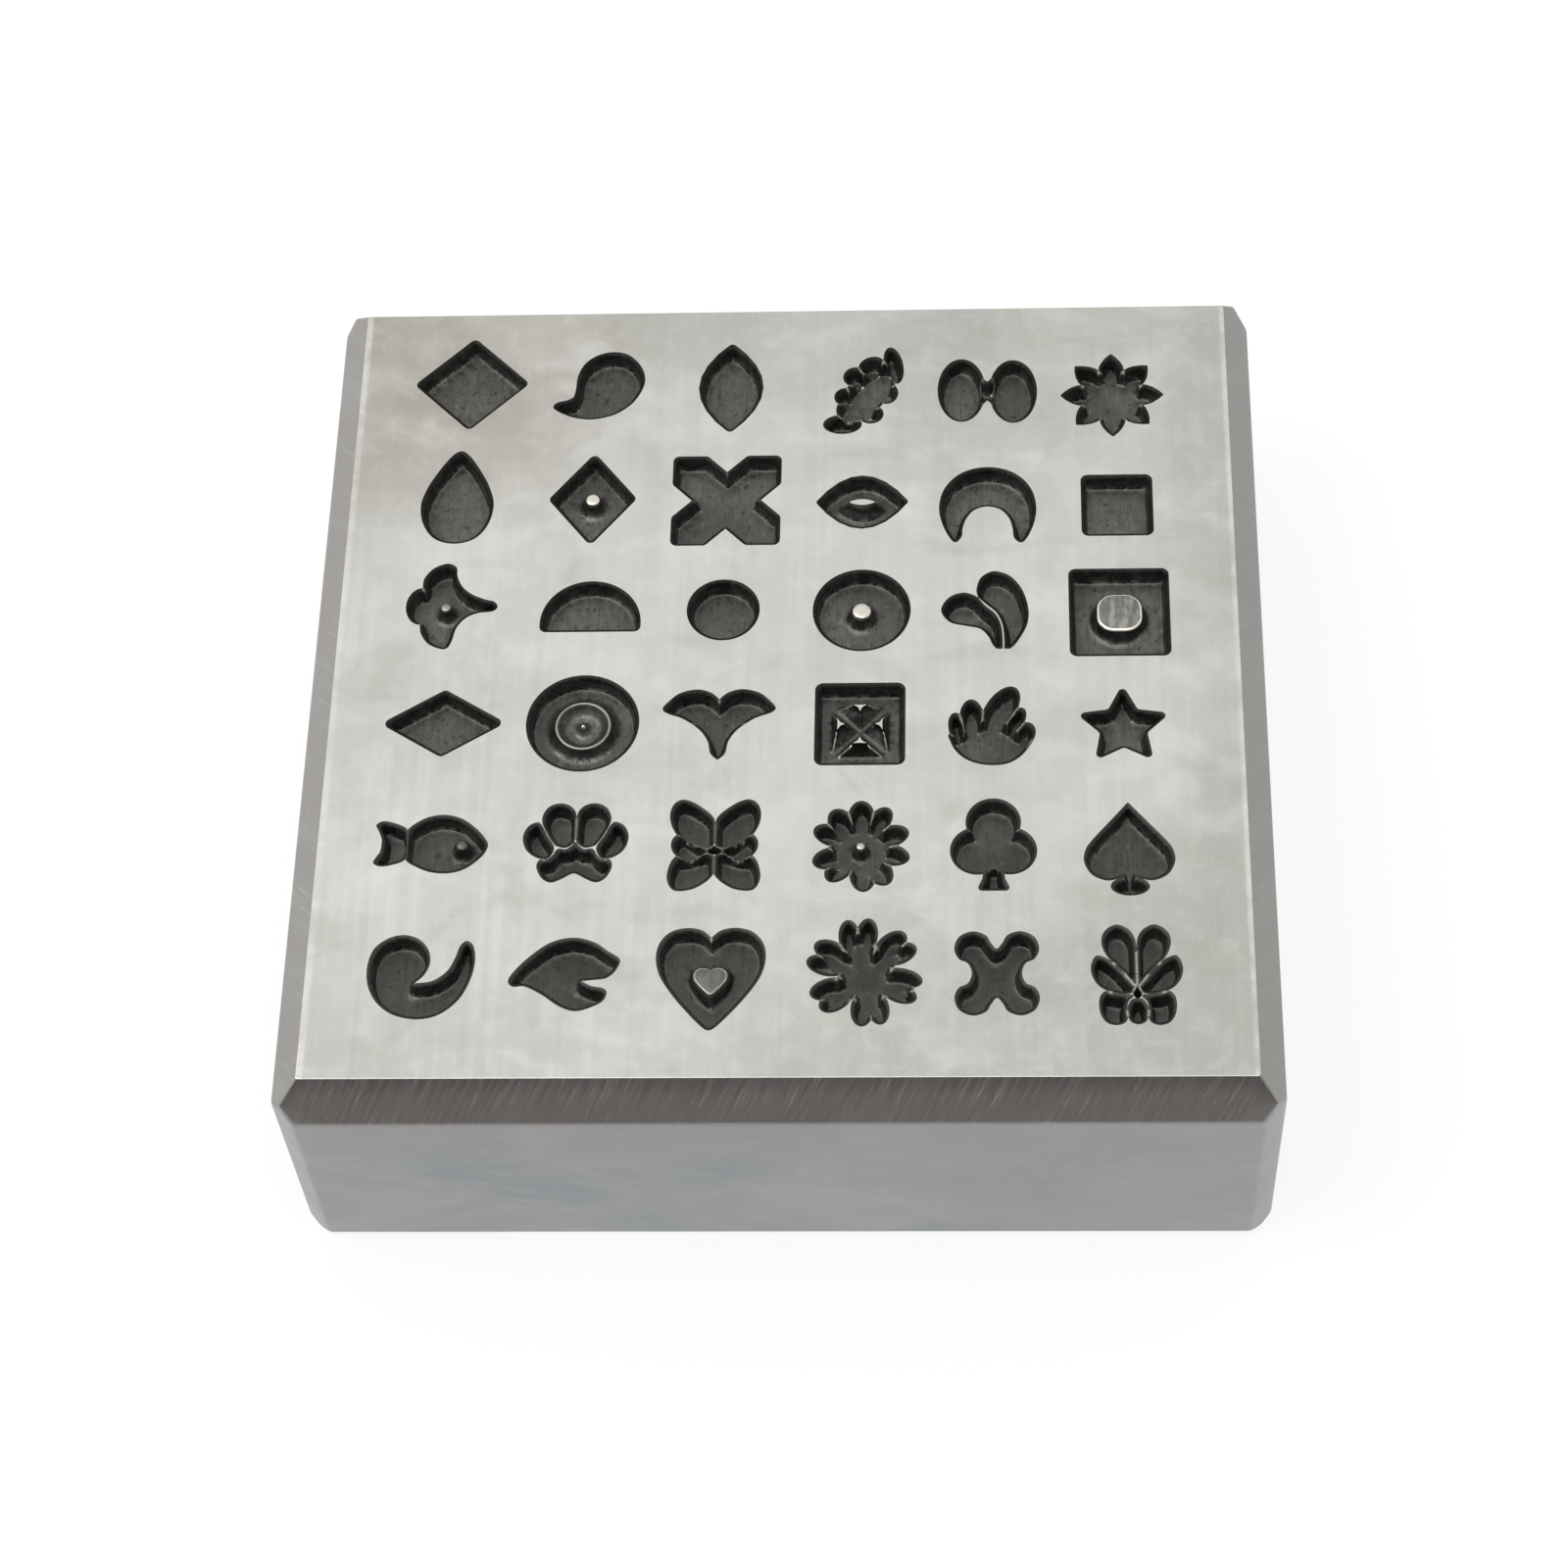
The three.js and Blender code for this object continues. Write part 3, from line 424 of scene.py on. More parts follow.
FLOWER_LOBES = [
    (0, 0, 61, 61, 0), (1, 62, 38, 26, 90), (35, 53, 36, 22, 58), (56, 20, 38, 24, 19),
    (56, -20, 39, 24, -14), (33, -53, 39, 26, -57), (5, -62, 40, 26, -88), (-38, -48, 38, 24, -130),
    (-56, -27, 37, 24, -163), (-56, 23, 37, 23.5, 155), (-35, 47, 38, 26, 118),
]
CLUB_DISCS = [(0, 48, 52, 52, 0), (-30, -14, 51.5, 51.5, 0), (30, -14, 51.5, 51.5, 0)]
CLUB_STEM = [(-18, -40), (-21, -73), (-33, -100), (33, -100), (21, -73), (18, -40)]
SPADE = [(0, 100), (37, 56), (71, 15), (82, -6), (83.5, -29), (70, -55), (42, -68), (15, -62), (0, -56)]
HOOK = [
    (-9, -13), (8, 4), (17, 29), (12, 57), (-7, 79), (-35, 88), (-64, 81), (-89, 59), (-99, 23),
    (-95, -18), (-76, -54), (-43, -79), (1, -88), (41, -78), (75, -47), (94, -5), (100, 33), (95, 64),
    (82, 75), (70, 64), (63, 41), (50, 13), (24, -8),
]
WING = [
    (33, -14), (51, -24), (73, -29), (79, -40), (68, -59), (28, -75), (-4, -66), (-39, -41), (-69, -25),
    (-91, -25), (-100, -13), (-89, 8), (-62, 38), (-27, 65), (13, 75), (51, 66), (78, 47), (100, 30),
    (94, 8), (78, -8), (56, -12),
]
HEART = [
    (0, 79), (16, 93), (41, 98), (69, 91), (88, 70), (94, 40), (86, 4), (62, -35), (32, -72), (10, -95),
    (0, -100),
]
CLOVEN_LOBES = [
    (2, -2, 46, 46, 0), (-26, 66, 34, 18.5, 95), (3, 68, 35, 19, 84), (-7, 36, 45, 28, 95),
    (44, 53, 32, 20, 42), (60, 34, 30, 19, 30), (33, 28, 42, 25, 38), (62, -12, 36, 19, -12),
    (57, -39, 33, 19, -25), (40, -20, 45, 27, -20), (23, -68, 32, 19, -80), (-3, -70, 33, 20, -93),
    (7, -40, 45, 27, -85), (-48, -53, 31, 20, -145), (-60, -32, 33, 20, -160), (-35, -32, 42, 25, -145),
    (-57, 40, 31, 20, 152), (-65, 13, 34, 20, 163), (-36, 20, 44, 25, 152),
]
FOUR_LOBES = [(52, 0), (60, 23), (79, 34), (88, 58), (78, 86), (50, 99), (23, 90), (12, 72)]
LOTUS_TOP = [
    (-32, 98.5), (-48, 92), (-58, 78), (-59, 58), (-49, 34.5), (-27.5, 11), (-10, -12), (-2, -22),
    (-1.4, -10), (-1.4, 20), (-2, 58), (-5.5, 76), (-15, 90),
]
LOTUS_SIDE = [
    (-70, 36), (-77.5, 23), (-79.5, 8), (-75, -9), (-65, -23), (-50, -32.5), (-30, -37), (-12, -36.5),
    (-3, -29), (-3, -25), (-12, -14), (-28.5, 7), (-45, 24.5), (-56, 32),
]
LOTUS_FOOT = [
    (-55, -35), (-64, -44), (-66.5, -60), (-63.5, -80), (-54, -94.5), (-38.5, -99.5), (-25, -95.5),
    (-19.5, -85), (-20.5, -68), (-17.5, -53), (-9, -43), (-20, -41), (-38, -39.5),
]
LOTUS_SEED = [(0, -49), (10, -52), (16.5, -65), (17, -80), (12, -93), (0, -98)]
TWIN_OVALS = [(-52, 3, 79, 48.5, 90), (52, -1, 79, 48.5, 90)]
SCALLOP_SIDE = (-58, -1, 43, 31, 90)
BUTTERFLY_MIDDLE = (0, -12, 17, 10, 0)
SPADE_FOOT = (0, -80, 36, 20, 0)
LOTUS_MIDDLE = (0, -36, 8.5, 12, 0)
FOUR_LOBES_WAIST = 58
# More outlines, in millimetres.
PYRAMID_FOOT = [(0.52, -1.66), (0.52, 1.66), (-1.15, 0)]
PYRAMID_SAG = [(0.3, -0.86), (0.24, 0), (0.3, 0.86), (-0.1, 0.22), (-0.66, 0), (-0.1, -0.22)]
PYRAMID_TIP = [(0.14, -0.44), (0.12, 0), (0.14, 0.44), (-0.06, 0.13), (-0.36, 0), (-0.06, -0.13)]
TWIN_BRIDGE = [(-0.75, 1.56), (0, 0.82), (0.75, 1.56), (0.75, -1.63), (0, -0.78), (-0.75, -1.63)]
SPADE_NECK = [(-0.41, -1.2), (-0.45, -2.93), (0.45, -2.93), (0.41, -1.2)]

# Where each cavity's middle lies, in shares of the pitch from the middle of the face.
PLACES = {
    "square_on_point": (-2.458, 2.664), "comma": (-1.47, 2.635), "marquise": (-0.455, 2.6),
    "oak_leaf": (0.56, 2.56), "twin_ovals": (1.507, 2.537), "daisy": (2.455, 2.487),
    "teardrop": (-2.5, 1.6), "posted_diamond": (-1.475, 1.567), "cross": (-0.463, 1.543),
    "island_lens": (0.561, 1.514), "crescent": (1.502, 1.482), "tile": (2.469, 1.462),
    "spurred_scallop": (-2.484, 0.611), "half_disc": (-1.442, 0.593), "disc": (-0.458, 0.552),
    "posted_disc": (0.567, 0.537), "twin_buds": (1.473, 0.529), "posted_tile": (2.464, 0.5),
    "rhombus": (-2.478, -0.421), "ringed_disc": (-1.456, -0.429), "ginkgo": (-0.463, -0.448),
    "pyramid_tile": (0.564, -0.453), "flame_leaf": (1.511, -0.482), "star": (2.468, -0.492),
    "fish": (-2.494, -1.444), "paw": (-1.459, -1.436), "butterfly": (-0.462, -1.461),
    "posted_flower": (0.579, -1.477), "club": (1.523, -1.472), "spade": (2.483, -1.514),
    "hook": (-2.502, -2.52), "wing": (-1.49, -2.504), "island_heart": (-0.461, -2.542),
    "cloven_flower": (0.617, -2.497), "four_lobes": (1.539, -2.511), "lotus": (2.511, -2.524),
}
# Half of each cavity's longer side on the face, in millimetres.
REACH = SimpleNamespace(
    square_on_point=4.02, comma=3.1, marquise=3.9, oak_leaf=3.7, twin_ovals=3.4, daisy_disc=2.25,
    daisy_petal=1.56, teardrop=3.86, posted_diamond=3.86, cross=3.71, island_lens=3.17, crescent=3.31,
    tile=2.52, spurred_scallop=3.45, half_disc=3.38, disc=2.44, posted_disc=3.26, twin_buds=3.1,
    posted_tile=3.48, rhombus=4.17, ringed_disc=3.73, ginkgo=3.72, pyramid_tile=3.17, flame_leaf=3.05,
    star=3.25, fish=3.68, paw=3.35, butterfly=3.36, posted_flower=3.35, club=3.42, spade=3.45, hook=3.44,
    wing=3.51, island_heart=3.7, cloven_flower=3.75, four_lobes=3.03, lotus=3.55)
# Half of the shorter side, where an outline is given by both.
WIDTH = SimpleNamespace(
    square_on_point=4.0, marquise=2.24, daisy_petal=0.9, posted_diamond=3.03, island_lens=2.21, tile=2.42,
    posted_tile=3.34, rhombus=2.62, pyramid_tile=2.97)
# Corner radii on the face.
CORNER = SimpleNamespace(
    diamond=0.4, marquise=0.35, petal=0.12, cross=0.45, lens=0.25, tile=0.5, half_disc=0.45,
    pyramid_tile=0.55, star=0.3, stem=0.25)
DAISY_PETALS = 8
DAISY_PETAL_MIDDLE = 2.0
CROSS_NOTCH_SHARE = 0.365
HALF_DISC_LIFT_SHARE = 0.4
HALF_DISC_BASE_SHARE = 0.604
STAR_POINTS = 5
STAR_WAIST_SHARE = 0.5
NOTCH_REACH = SimpleNamespace(ginkgo=0.5, island_heart=0.55)

# Islands, from the foot on the floor up to the top: sizes about the island's middle, then the depth.
POST_FLANK = (
    (1.0, SINK), (0.62, 0.86 * SINK), (0.3, 0.62 * SINK), (0.1, 0.34 * SINK), (0.02, 0.12), (0, 0.09))
POST_DOME = ((0.84, 0.05), (0.58, 0.02), (0.2, 0.004))
LENS_LEVELS = (
    (1.65, 0.95, 0.2, SINK), (1.2, 0.5, 0.1, 0.5 * SINK), (0.97, 0.3, 0.05, 0.1), (0.9, 0.24, 0.04, 0))
DRUM_FOOT = ((2.0, SINK), (1.8, 0.85 * SINK), (1.66, 0.5 * SINK))
DRUM_TOP = ((1.53, 1.49, 1.15, 0.17), (1.45, 1.41, 1.08, 0.06), (1.3, 1.26, 0.95, 0))
EYE_LEVELS = ((0.62, SINK), (0.58, 0.6 * SINK), (0.5, 0.3 * SINK), (0.36, 0.11 * SINK), (0.12, 0.004))
HEART_LEVELS = (
    (1.5, 1.5, SINK), (1.26, 1.12, 0.5 * SINK), (1.16, 1.0, 0.1), (1.09, 0.93, 0.03), (0.96, 0.8, 0))
PYRAMID_LEVELS = ((PYRAMID_FOOT, SINK), (PYRAMID_SAG, 0.45 * SINK), (PYRAMID_TIP, 0))
PYRAMID_PLACE = (1.34, 0)
SCALLOP_POST_PLACE = (-0.38, -0.1)
EYE_PLACE = (1.95, 0)
HEART_PLACE = (0, -0.17)
# How far the flat tops of two islands reach, for their own steel.
FLAT_TOPS = {"posted_tile": 1.6, "island_heart": 1.2}
# The ring and the peak in the ringed disc: radii, their depths, more radii with points, and the ones worn
# and lit with painted highlight.
RING_RADII = [0, 0.08, 0.3, 0.55, 0.85, 1.15, 1.42, 1.65, 1.72, 1.78, 1.85, 2.02, 2.2, 2.5]
RING_DEPTHS = [0.3, 0.34, 0.76, 0.96, 1.0, 0.92, 0.66, 0.35, 0.31, 0.31, 0.36, 0.72, 1.0, SINK]
RING_BETWEEN = [0.19, 0.42, 0.7, 1.0, 1.28, 1.53, 1.93, 2.11, 2.35]
RING_WEAR_AND_SHEEN = {0.08: 1.0, 1.72: 0.36, 1.78: 0.36}


def cavity_lobes():
    """The lobes of each cavity, in millimetres about its middle."""
    r, w, corner = REACH, WIDTH, CORNER
    bar = rounded(corner_bar(r.cross, CROSS_NOTCH_SHARE), corner.cross)
    petals = [lens(r.daisy_petal, w.daisy_petal, k * 360 / DAISY_PETALS, DAISY_PETAL_MIDDLE)
              for k in range(DAISY_PETALS)]
    return {
        "square_on_point": [rounded(diamond(r.square_on_point, w.square_on_point), corner.diamond)],
        "comma": [stretches(r.comma, [COMMA])],
        "marquise": [rounded(lens(r.marquise, w.marquise, 90), corner.marquise)],
        "oak_leaf": ovals(r.oak_leaf, OAK_LEAF),
        "twin_ovals": ovals(r.twin_ovals, TWIN_OVALS) + [polygon(TWIN_BRIDGE)],
        "daisy": [circle(r.daisy_disc)] + [rounded(petal, corner.petal) for petal in petals],
        "teardrop": [loop(r.teardrop, mirrored(TEARDROP))],
        "posted_diamond": [rounded(diamond(w.posted_diamond, r.posted_diamond), corner.diamond)],
        "cross": [bar, turned(bar, 90)],
        "island_lens": [rounded(lens(r.island_lens, w.island_lens), corner.lens)],
        "crescent": [loop(r.crescent, CRESCENT)],
        "tile": [rounded(box(w.tile, r.tile), corner.tile)],
        "spurred_scallop": [stretches(r.spurred_scallop, SCALLOP), oval(r.spurred_scallop, SCALLOP_SIDE)],
        "half_disc": [half_disc(r.half_disc, HALF_DISC_LIFT_SHARE, HALF_DISC_BASE_SHARE, corner.half_disc)],
        "disc": [circle(r.disc)],
        "posted_disc": [circle(r.posted_disc)],
        "twin_buds": [stretches(r.twin_buds, LEFT_BUD), stretches(r.twin_buds, RIGHT_BUD)],
        "posted_tile": [rounded(box(w.posted_tile, r.posted_tile), corner.tile)],
        "rhombus": [rounded(diamond(r.rhombus, w.rhombus), corner.diamond)],
        "ringed_disc": [circle(r.ringed_disc)],
        "ginkgo": two_lobes(r.ginkgo, GINKGO, NOTCH_REACH.ginkgo),
        "pyramid_tile": [rounded(box(w.pyramid_tile, r.pyramid_tile), corner.pyramid_tile)],
        "flame_leaf": ovals(r.flame_leaf, FLAME_LOBES) + [loop(r.flame_leaf, FLAME_BODY)],
        "star": [star(r.star, STAR_WAIST_SHARE, STAR_POINTS, corner.star)],
        "fish": [loop(r.fish, FISH_BODY), loop(r.fish, FISH_TAIL)],
        "paw": both_sides(r.paw, PAW_SIDE_TOE, PAW_TOE) + [grown(loop(r.paw, mirrored(PAW_PAD)))],
        "butterfly": both_sides(r.butterfly, UPPER_WING, SIDE_LOBE, LOWER_WING)
        + [oval(r.butterfly, BUTTERFLY_MIDDLE)],
        "posted_flower": ovals(r.posted_flower, FLOWER_LOBES),
        "club": ovals(r.club, CLUB_DISCS) + [rounded(r.club * in_shares(CLUB_STEM), corner.stem)],
        "spade": [stretches(r.spade, [mirrored(SPADE)]), polygon(SPADE_NECK), oval(r.spade, SPADE_FOOT)],
        "hook": [stretches(r.hook, [HOOK])],
        "wing": [stretches(r.wing, [WING])],
        "island_heart": two_lobes(r.island_heart, HEART, NOTCH_REACH.island_heart),
        "cloven_flower": ovals(r.cloven_flower, CLOVEN_LOBES),
        "four_lobes": [loop(r.four_lobes, fourfold(FOUR_LOBES, FOUR_LOBES_WAIST))],
        "lotus": both_sides(r.lotus, LOTUS_TOP, LOTUS_SIDE, LOTUS_FOOT)
        + [grown(loop(r.lotus, mirrored(LOTUS_SEED))), oval(r.lotus, LOTUS_MIDDLE)],
    }


def post(top, foot, wear_and_sheen, at=(0, 0)):
    """A round post: a flared foot and a domed top."""
    flank = [(circle(top + share * (foot - top)), depth) for share, depth in POST_FLANK]
    dome = [(circle(share * top), depth) for share, depth in POST_DOME]
    return at, flank + dome, wear_and_sheen


def cavity_islands():
    """What stands in each cavity: its place, the outlines about it with their depths, from its foot at the
    floor up to its top, and how brightly it is worn and lit with painted highlight."""
    leaf = [(rounded(lens(long, wide), radius), depth) for long, wide, radius, depth in LENS_LEVELS]
    drum = [(circle(radius), depth) for radius, depth in DRUM_FOOT]
    drum += [(rounded(box(x, y), radius), depth) for x, y, radius, depth in DRUM_TOP]
    heart = stretches(1, [mirrored(HEART)])
    island = [(heart * [x, y], depth) for x, y, depth in HEART_LEVELS]
    pyramids = []
    for angle in (0, 90, 180, 270):
        levels = [(turned(polygon(points), angle), depth) for points, depth in PYRAMID_LEVELS]
        pyramids.append((turned([PYRAMID_PLACE], angle)[0], levels, 1))
    return {
        "posted_diamond": [post(top=0.45, foot=1.0, wear_and_sheen=0.85)],
        "island_lens": [((0, 0), leaf, 1)],
        "spurred_scallop": [post(top=0.31, foot=0.75, wear_and_sheen=0.4, at=SCALLOP_POST_PLACE)],
        "posted_disc": [post(top=0.6, foot=1.1, wear_and_sheen=0.85)],
        "posted_tile": [((0, 0), drum, 0.95)],
        "pyramid_tile": pyramids,
        "fish": [(EYE_PLACE, [(circle(radius), depth) for radius, depth in EYE_LEVELS], 0.12)],
        "posted_flower": [post(top=0.27, foot=0.62, wear_and_sheen=0.6)],
        "island_heart": [(HEART_PLACE, island, 0.55)],
    }


# Depth of a cavity at any point

def inside_distance(points, outline):
    """How far each point lies inside a closed outline, and how far outside it just round it."""
    out = np.full(len(points), -OUTSIDE)
    low, high = outline.min(0) - OUTSIDE, outline.max(0) + OUTSIDE
    near = np.flatnonzero(((points > low) & (points < high)).all(1))
    ax, ay = outline.T
    dx, dy = (np.roll(outline, -1, 0) - outline).T
    dd = dx * dx + dy * dy
    slope = dx / np.where(dy == 0, 1, dy)
    above = ay + dy
    for part in np.array_split(near, max(1, len(near) // BATCH)):
        if not len(part):
            continue
        px, py = points[part, :1], points[part, 1:]
        wx, wy = px - ax, py - ay
        t = np.clip((wx * dx + wy * dy) / dd, 0, 1)
        dist = np.sqrt(((wx - t * dx) ** 2 + (wy - t * dy) ** 2).min(1))
        up = (wy >= 0) != (above <= py)
        inside = np.logical_xor.reduce(up & (wx < wy * slope), axis=1)
        out[part] = np.where(inside, dist, -dist)
    return out


def wall_depth(share):
    """A narrow worn rim, a steep draft, then a cove that runs out level with the floor. The share is how
    much of the wall's run has been passed."""
    rim, draft = RIM_RUN / WALL_RUN, DRAFT_RUN / WALL_RUN
    steep = np.interp(share, [0, rim / 2, rim, draft], [0, RIM_MIDDLE * RIM_DROP, RIM_DROP, DRAFT_DEPTH])
    t = np.clip((share - draft) / (1 - draft), 0, 1)
    return np.where(share < draft, steep, DRAFT_DEPTH + (SINK - DRAFT_DEPTH) * np.sqrt(1 - (1 - t) ** 2))


def ring_depth(r):
    """The ring and the peak in the ringed disc."""
    return np.interp(r, RING_RADII, RING_DEPTHS, right=NOWHERE)


def radius_at(outline, angle):
    """How far an outline lies from the middle in each direction."""
    own = np.arctan2(outline[:, 1], outline[:, 0])
    order = np.argsort(own)
    return np.interp(angle, own[order], np.hypot(*outline.T)[order], period=2 * math.pi)


def turns(outline):
    """How sharply an outline turns at each point."""
    before = outline - np.roll(outline, 1, 0)
    after = np.roll(outline, -1, 0) - outline
    cross = before[:, 0] * after[:, 1] - before[:, 1] * after[:, 0]
    return np.abs(np.arctan2(cross, (before * after).sum(1)))


def corner_angles(outline):
    corner = outline[turns(outline) > CORNER_TURN]
    return np.arctan2(corner[:, 1], corner[:, 0])


def ring_angles(radius, corners):
    """Even directions round a ring, with the corners' own directions last."""
    count = 4 * max(4, int(round(2 * math.pi * radius / ROUND_STEP)))
    even = np.arange(count) * 2 * math.pi / count
    if len(corners):
        off = np.abs((even[:, None] - corners + math.pi) % (2 * math.pi) - math.pi).min(1)
        even = even[off > 2 / count]
    return np.r_[even, corners]


def measured(outline):
    """The outline with every other point left out, except at its corners."""
    return outline[(np.arange(len(outline)) % 2 == 0) | (turns(outline) > BEND_TURN)]


def grid_axes(low, high, step):
    return np.arange(low[0], high[0], step), np.arange(low[1], high[1], step)


def flat_grid(x, y):
    columns, lines = np.meshgrid(x, y)
    return np.c_[columns.ravel(), lines.ravel()]


def neighbours(values, axis):
    """The values of a grid, and the ones that follow them along an axis."""
    return (values[:-1], values[1:]) if axis == 0 else (values[:, :-1], values[:, 1:])


class Cavity:
    """One cavity about its own middle: the outlines of its lobes, and what stands in it."""

    def __init__(self, name, lobes, islands):
        self.name = name
        self.lobes = lobes
        self.measured = [measured(o) for o in lobes]
        self.islands = islands
        self.runs = []
        for outline in self.measured:
            low, high = outline.min(0), outline.max(0)
            x, y = grid_axes(low, high, WIDTH_STEP)
            widest = inside_distance(flat_grid(x, y), outline).max()
            self.runs.append(min(WALL_RUN, WIDEST_RUN * widest))

    def shares(self, points):
        """How far inside each lobe a point lies, as a share of the run of that lobe's wall."""
        return np.array([inside_distance(points, o) / run for o, run in zip(self.measured, self.runs)])

    def wear_and_sheen(self, points, shares):
        """Ridges between two lobes are worn bright and lit with painted highlight, most of all near the
        face.
        """
        if len(shares) == 1:
            return np.zeros(shares.shape[1])
        least, most = np.sort(shares, axis=0)[-2:]
        thin = np.clip(1 - (most - least) * WALL_RUN / (2 * RIDGE_HALF), 0, 1)
        if self.name in ("ginkgo", "island_heart"):
            thin *= points[:, 1] > 0
        return RIDGE_WEAR_AND_SHEEN.get(self.name, COMMON_WEAR_AND_SHEEN) * thin * np.interp(most, *WEAR_AND_SHEEN_FADE)

    def island_depth(self, points):
        depth = np.full(len(points), NOWHERE)
        for place, levels, _ in self.islands:
            away = points - np.array(place)
            far, angle = np.hypot(*away.T), np.arctan2(away[:, 1], away[:, 0])
            radii = [radius_at(outline, angle) for outline, _ in levels]
            for outer, inner, (_, low), (_, high) in zip(radii, radii[1:], levels, levels[1:]):
                t = np.clip((outer - far) / (outer - inner), 0, 1)
                within = (far < outer + NEAR) & (far > inner - NEAR)
                depth = np.where(within, np.minimum(depth, low + (high - low) * t), depth)
            depth = np.where(far <= radii[-1] + CLOSE, levels[-1][1], depth)
        if self.name == "ringed_disc":
            depth = np.minimum(depth, ring_depth(np.hypot(*points.T)))
        return depth

    def depth(self, points, shares):
        return np.minimum(wall_depth(shares.max(0)), self.island_depth(points))

    def points(self):
        """The points of the mesh: on the rim, on the islands with their wear and painted highlight, on
        ridges, and between.
        """
        fixed, crest, loose = [], [], []
        for i, (outline, run) in enumerate(zip(self.lobes, self.runs)):
            buried = np.zeros(len(outline), bool)
            for j, other in enumerate(self.measured):
                if j != i:
                    buried |= inside_distance(outline, other) > (BURIED if j > i else -BURIED)
            fixed.append(outline[~buried])
            normal = outward(outline)
            normal /= np.hypot(*normal.T)[:, None] + TINY
            for share in RING_SHARES:
                s = share * run
                ring = outline - s * normal
                keep = inside_distance(ring, self.measured[i]) > ROW_KEPT * s
                ring = ring[keep]
                if not len(ring):
                    continue
                depths = wall_depth(self.shares(ring))
                ring = ring[depths[i] >= depths.max(0) - DEEPER]
                loose.append(ring[:: 1 if share < THINNED_SHARE else 2])
        exact, shine = [], []
        self.lines = []
        for place, levels, bright in self.islands:
            corners = corner_angles(levels[1][0])
            # A corner that points at the middle of the cavity isn't worn or lit with painted highlight.
            away = np.cos(corners - math.atan2(place[1], place[0])) * np.hypot(*place) > -CORNER_LIMIT
            rungs = []
            for (outer, low), (inner, high) in zip(levels, levels[1:]):
                width = np.hypot(*outer.T).mean() - np.hypot(*inner.T).mean()
                steps = max(1, int(round(width / RUNG_STEP)))
                for t in np.arange(steps) / steps:
                    angle = ring_angles(np.hypot(*outer.T).mean(), corners)
                    far = radius_at(outer, angle) * (1 - t) + radius_at(inner, angle) * t
                    exact.append(place + np.c_[np.cos(angle), np.sin(angle)] * far[:, None])
                    rungs.append(exact[-1][len(angle) - len(corners):])
                    level = low + (high - low) * t
                    worn_and_sheen = np.full(len(angle), float(level < WEAR_AND_SHEEN_DEPTH))
                    worn_and_sheen[len(angle) - len(corners):] = away * np.interp(level, CORNER_FADE, [1, 0])
                    shine.append(bright * worn_and_sheen)
            self.lines += [np.array([rung[k] for rung in rungs]) for k in np.flatnonzero(away)]
            if levels[-1][1] == 0:
                fixed.append(resample(levels[-1][0], RIM_STEP) + np.array(place))
            else:
                exact.append(levels[-1][0][::TOP_THINNING] + np.array(place))
                shine.append(np.full(len(exact[-1]), float(bright)))
        if self.name == "ringed_disc":
            exact.append(np.zeros((1, 2)))
            shine.append(np.ones(1))
            for radius in sorted(RING_RADII[1:] + RING_BETWEEN):
                angle = ring_angles(radius, [])
                exact.append(radius * np.c_[np.cos(angle), np.sin(angle)])
                shine.append(np.full(len(angle), RING_WEAR_AND_SHEEN.get(radius, 0.0)))
        low = np.min([o.min(0) for o in self.lobes], 0)
        high = np.max([o.max(0) for o in self.lobes], 0)
        x, y = np.meshgrid(*grid_axes(low, high, GRID_STEP))
        x[::2] += GRID_STEP / 2
        grid = np.c_[x.ravel(), y.ravel()]
        depth = self.depth(grid, self.shares(grid))
        spare = np.arange(len(grid)) % FLOOR_THINNING == 0
        loose.append(grid[(depth > GRID_DEPTHS[0]) & ((depth < GRID_DEPTHS[1]) | spare)])
        crest.append(self.crests(low, high))
        exact = np.c_[np.vstack(exact), np.concatenate(shine)] if exact else np.zeros((0, 3))
        return np.vstack(fixed), exact, np.vstack(crest), np.vstack(loose)

    def crests(self, low, high):
        """Points along the ridges where the walls of two lobes meet."""
        if len(self.lobes) == 1:
            return np.zeros((0, 2))
        x, y = grid_axes(low, high, CREST_STEP)
        shares = self.shares(flat_grid(x, y)).reshape(len(self.lobes), len(y), len(x))
        found = [np.zeros((0, 2))]
        top = shares.max(0)
        edge = CREST_STEP / WALL_RUN
        for i in range(len(self.lobes)):
            for j in range(i):
                least, most = np.minimum(shares[i], shares[j]), np.maximum(shares[i], shares[j])
                ok = (least > -edge) & (least < 1) & (most >= top - SAME)
                if not ok.any():
                    continue
                f = shares[i] - shares[j]
                for axis in (0, 1):
                    f0, f1 = neighbours(f, axis)
                    k0, k1 = neighbours(ok, axis)
                    s0, s1 = neighbours(shares[i], axis)
                    t = f0 / np.where(f0 == f1, 1, f0 - f1)
                    apart = (f0 * f1 < 0) & (np.abs(f0 - f1) > LEAST_CHANGE)
                    r, c = np.nonzero(k0 & k1 & apart & (s0 + (s1 - s0) * t > CREST_START))
                    px = x[c] + (t[r, c] * CREST_STEP if axis == 1 else 0)
                    py = y[r] + (t[r, c] * CREST_STEP if axis == 0 else 0)
                    found.append(np.c_[px, py])
        return np.vstack(found)


def thinned(points, cell):
    """One point for each cell."""
    _, first = np.unique(np.floor(points / cell).astype(np.int64), axis=0, return_index=True)
    return points[np.sort(first)]


def clear_of(points, kept, gap):
    """The points that lie in no cell next to a kept point."""
    if not len(kept):
        return points
    cells = np.floor(kept / gap).astype(np.int64)
    taken = np.unique(np.concatenate([
        (cells[:, 0] + dx) * CELLS_IN_ROW + cells[:, 1] + dy for dx in (-1, 0, 1) for dy in (-1, 0, 1)]))
    own = np.floor(points / gap).astype(np.int64)
    return points[~np.isin(own[:, 0] * CELLS_IN_ROW + own[:, 1], taken)]


# The block

def arc(corner, u, v, reach):
    """A small arc in place of a corner, from along one of its sides to along the other."""
    return [corner + reach * (u * (1 - t) ** 2 + v * t ** 2) for t in np.linspace(0, 1, EDGE_POINTS)]


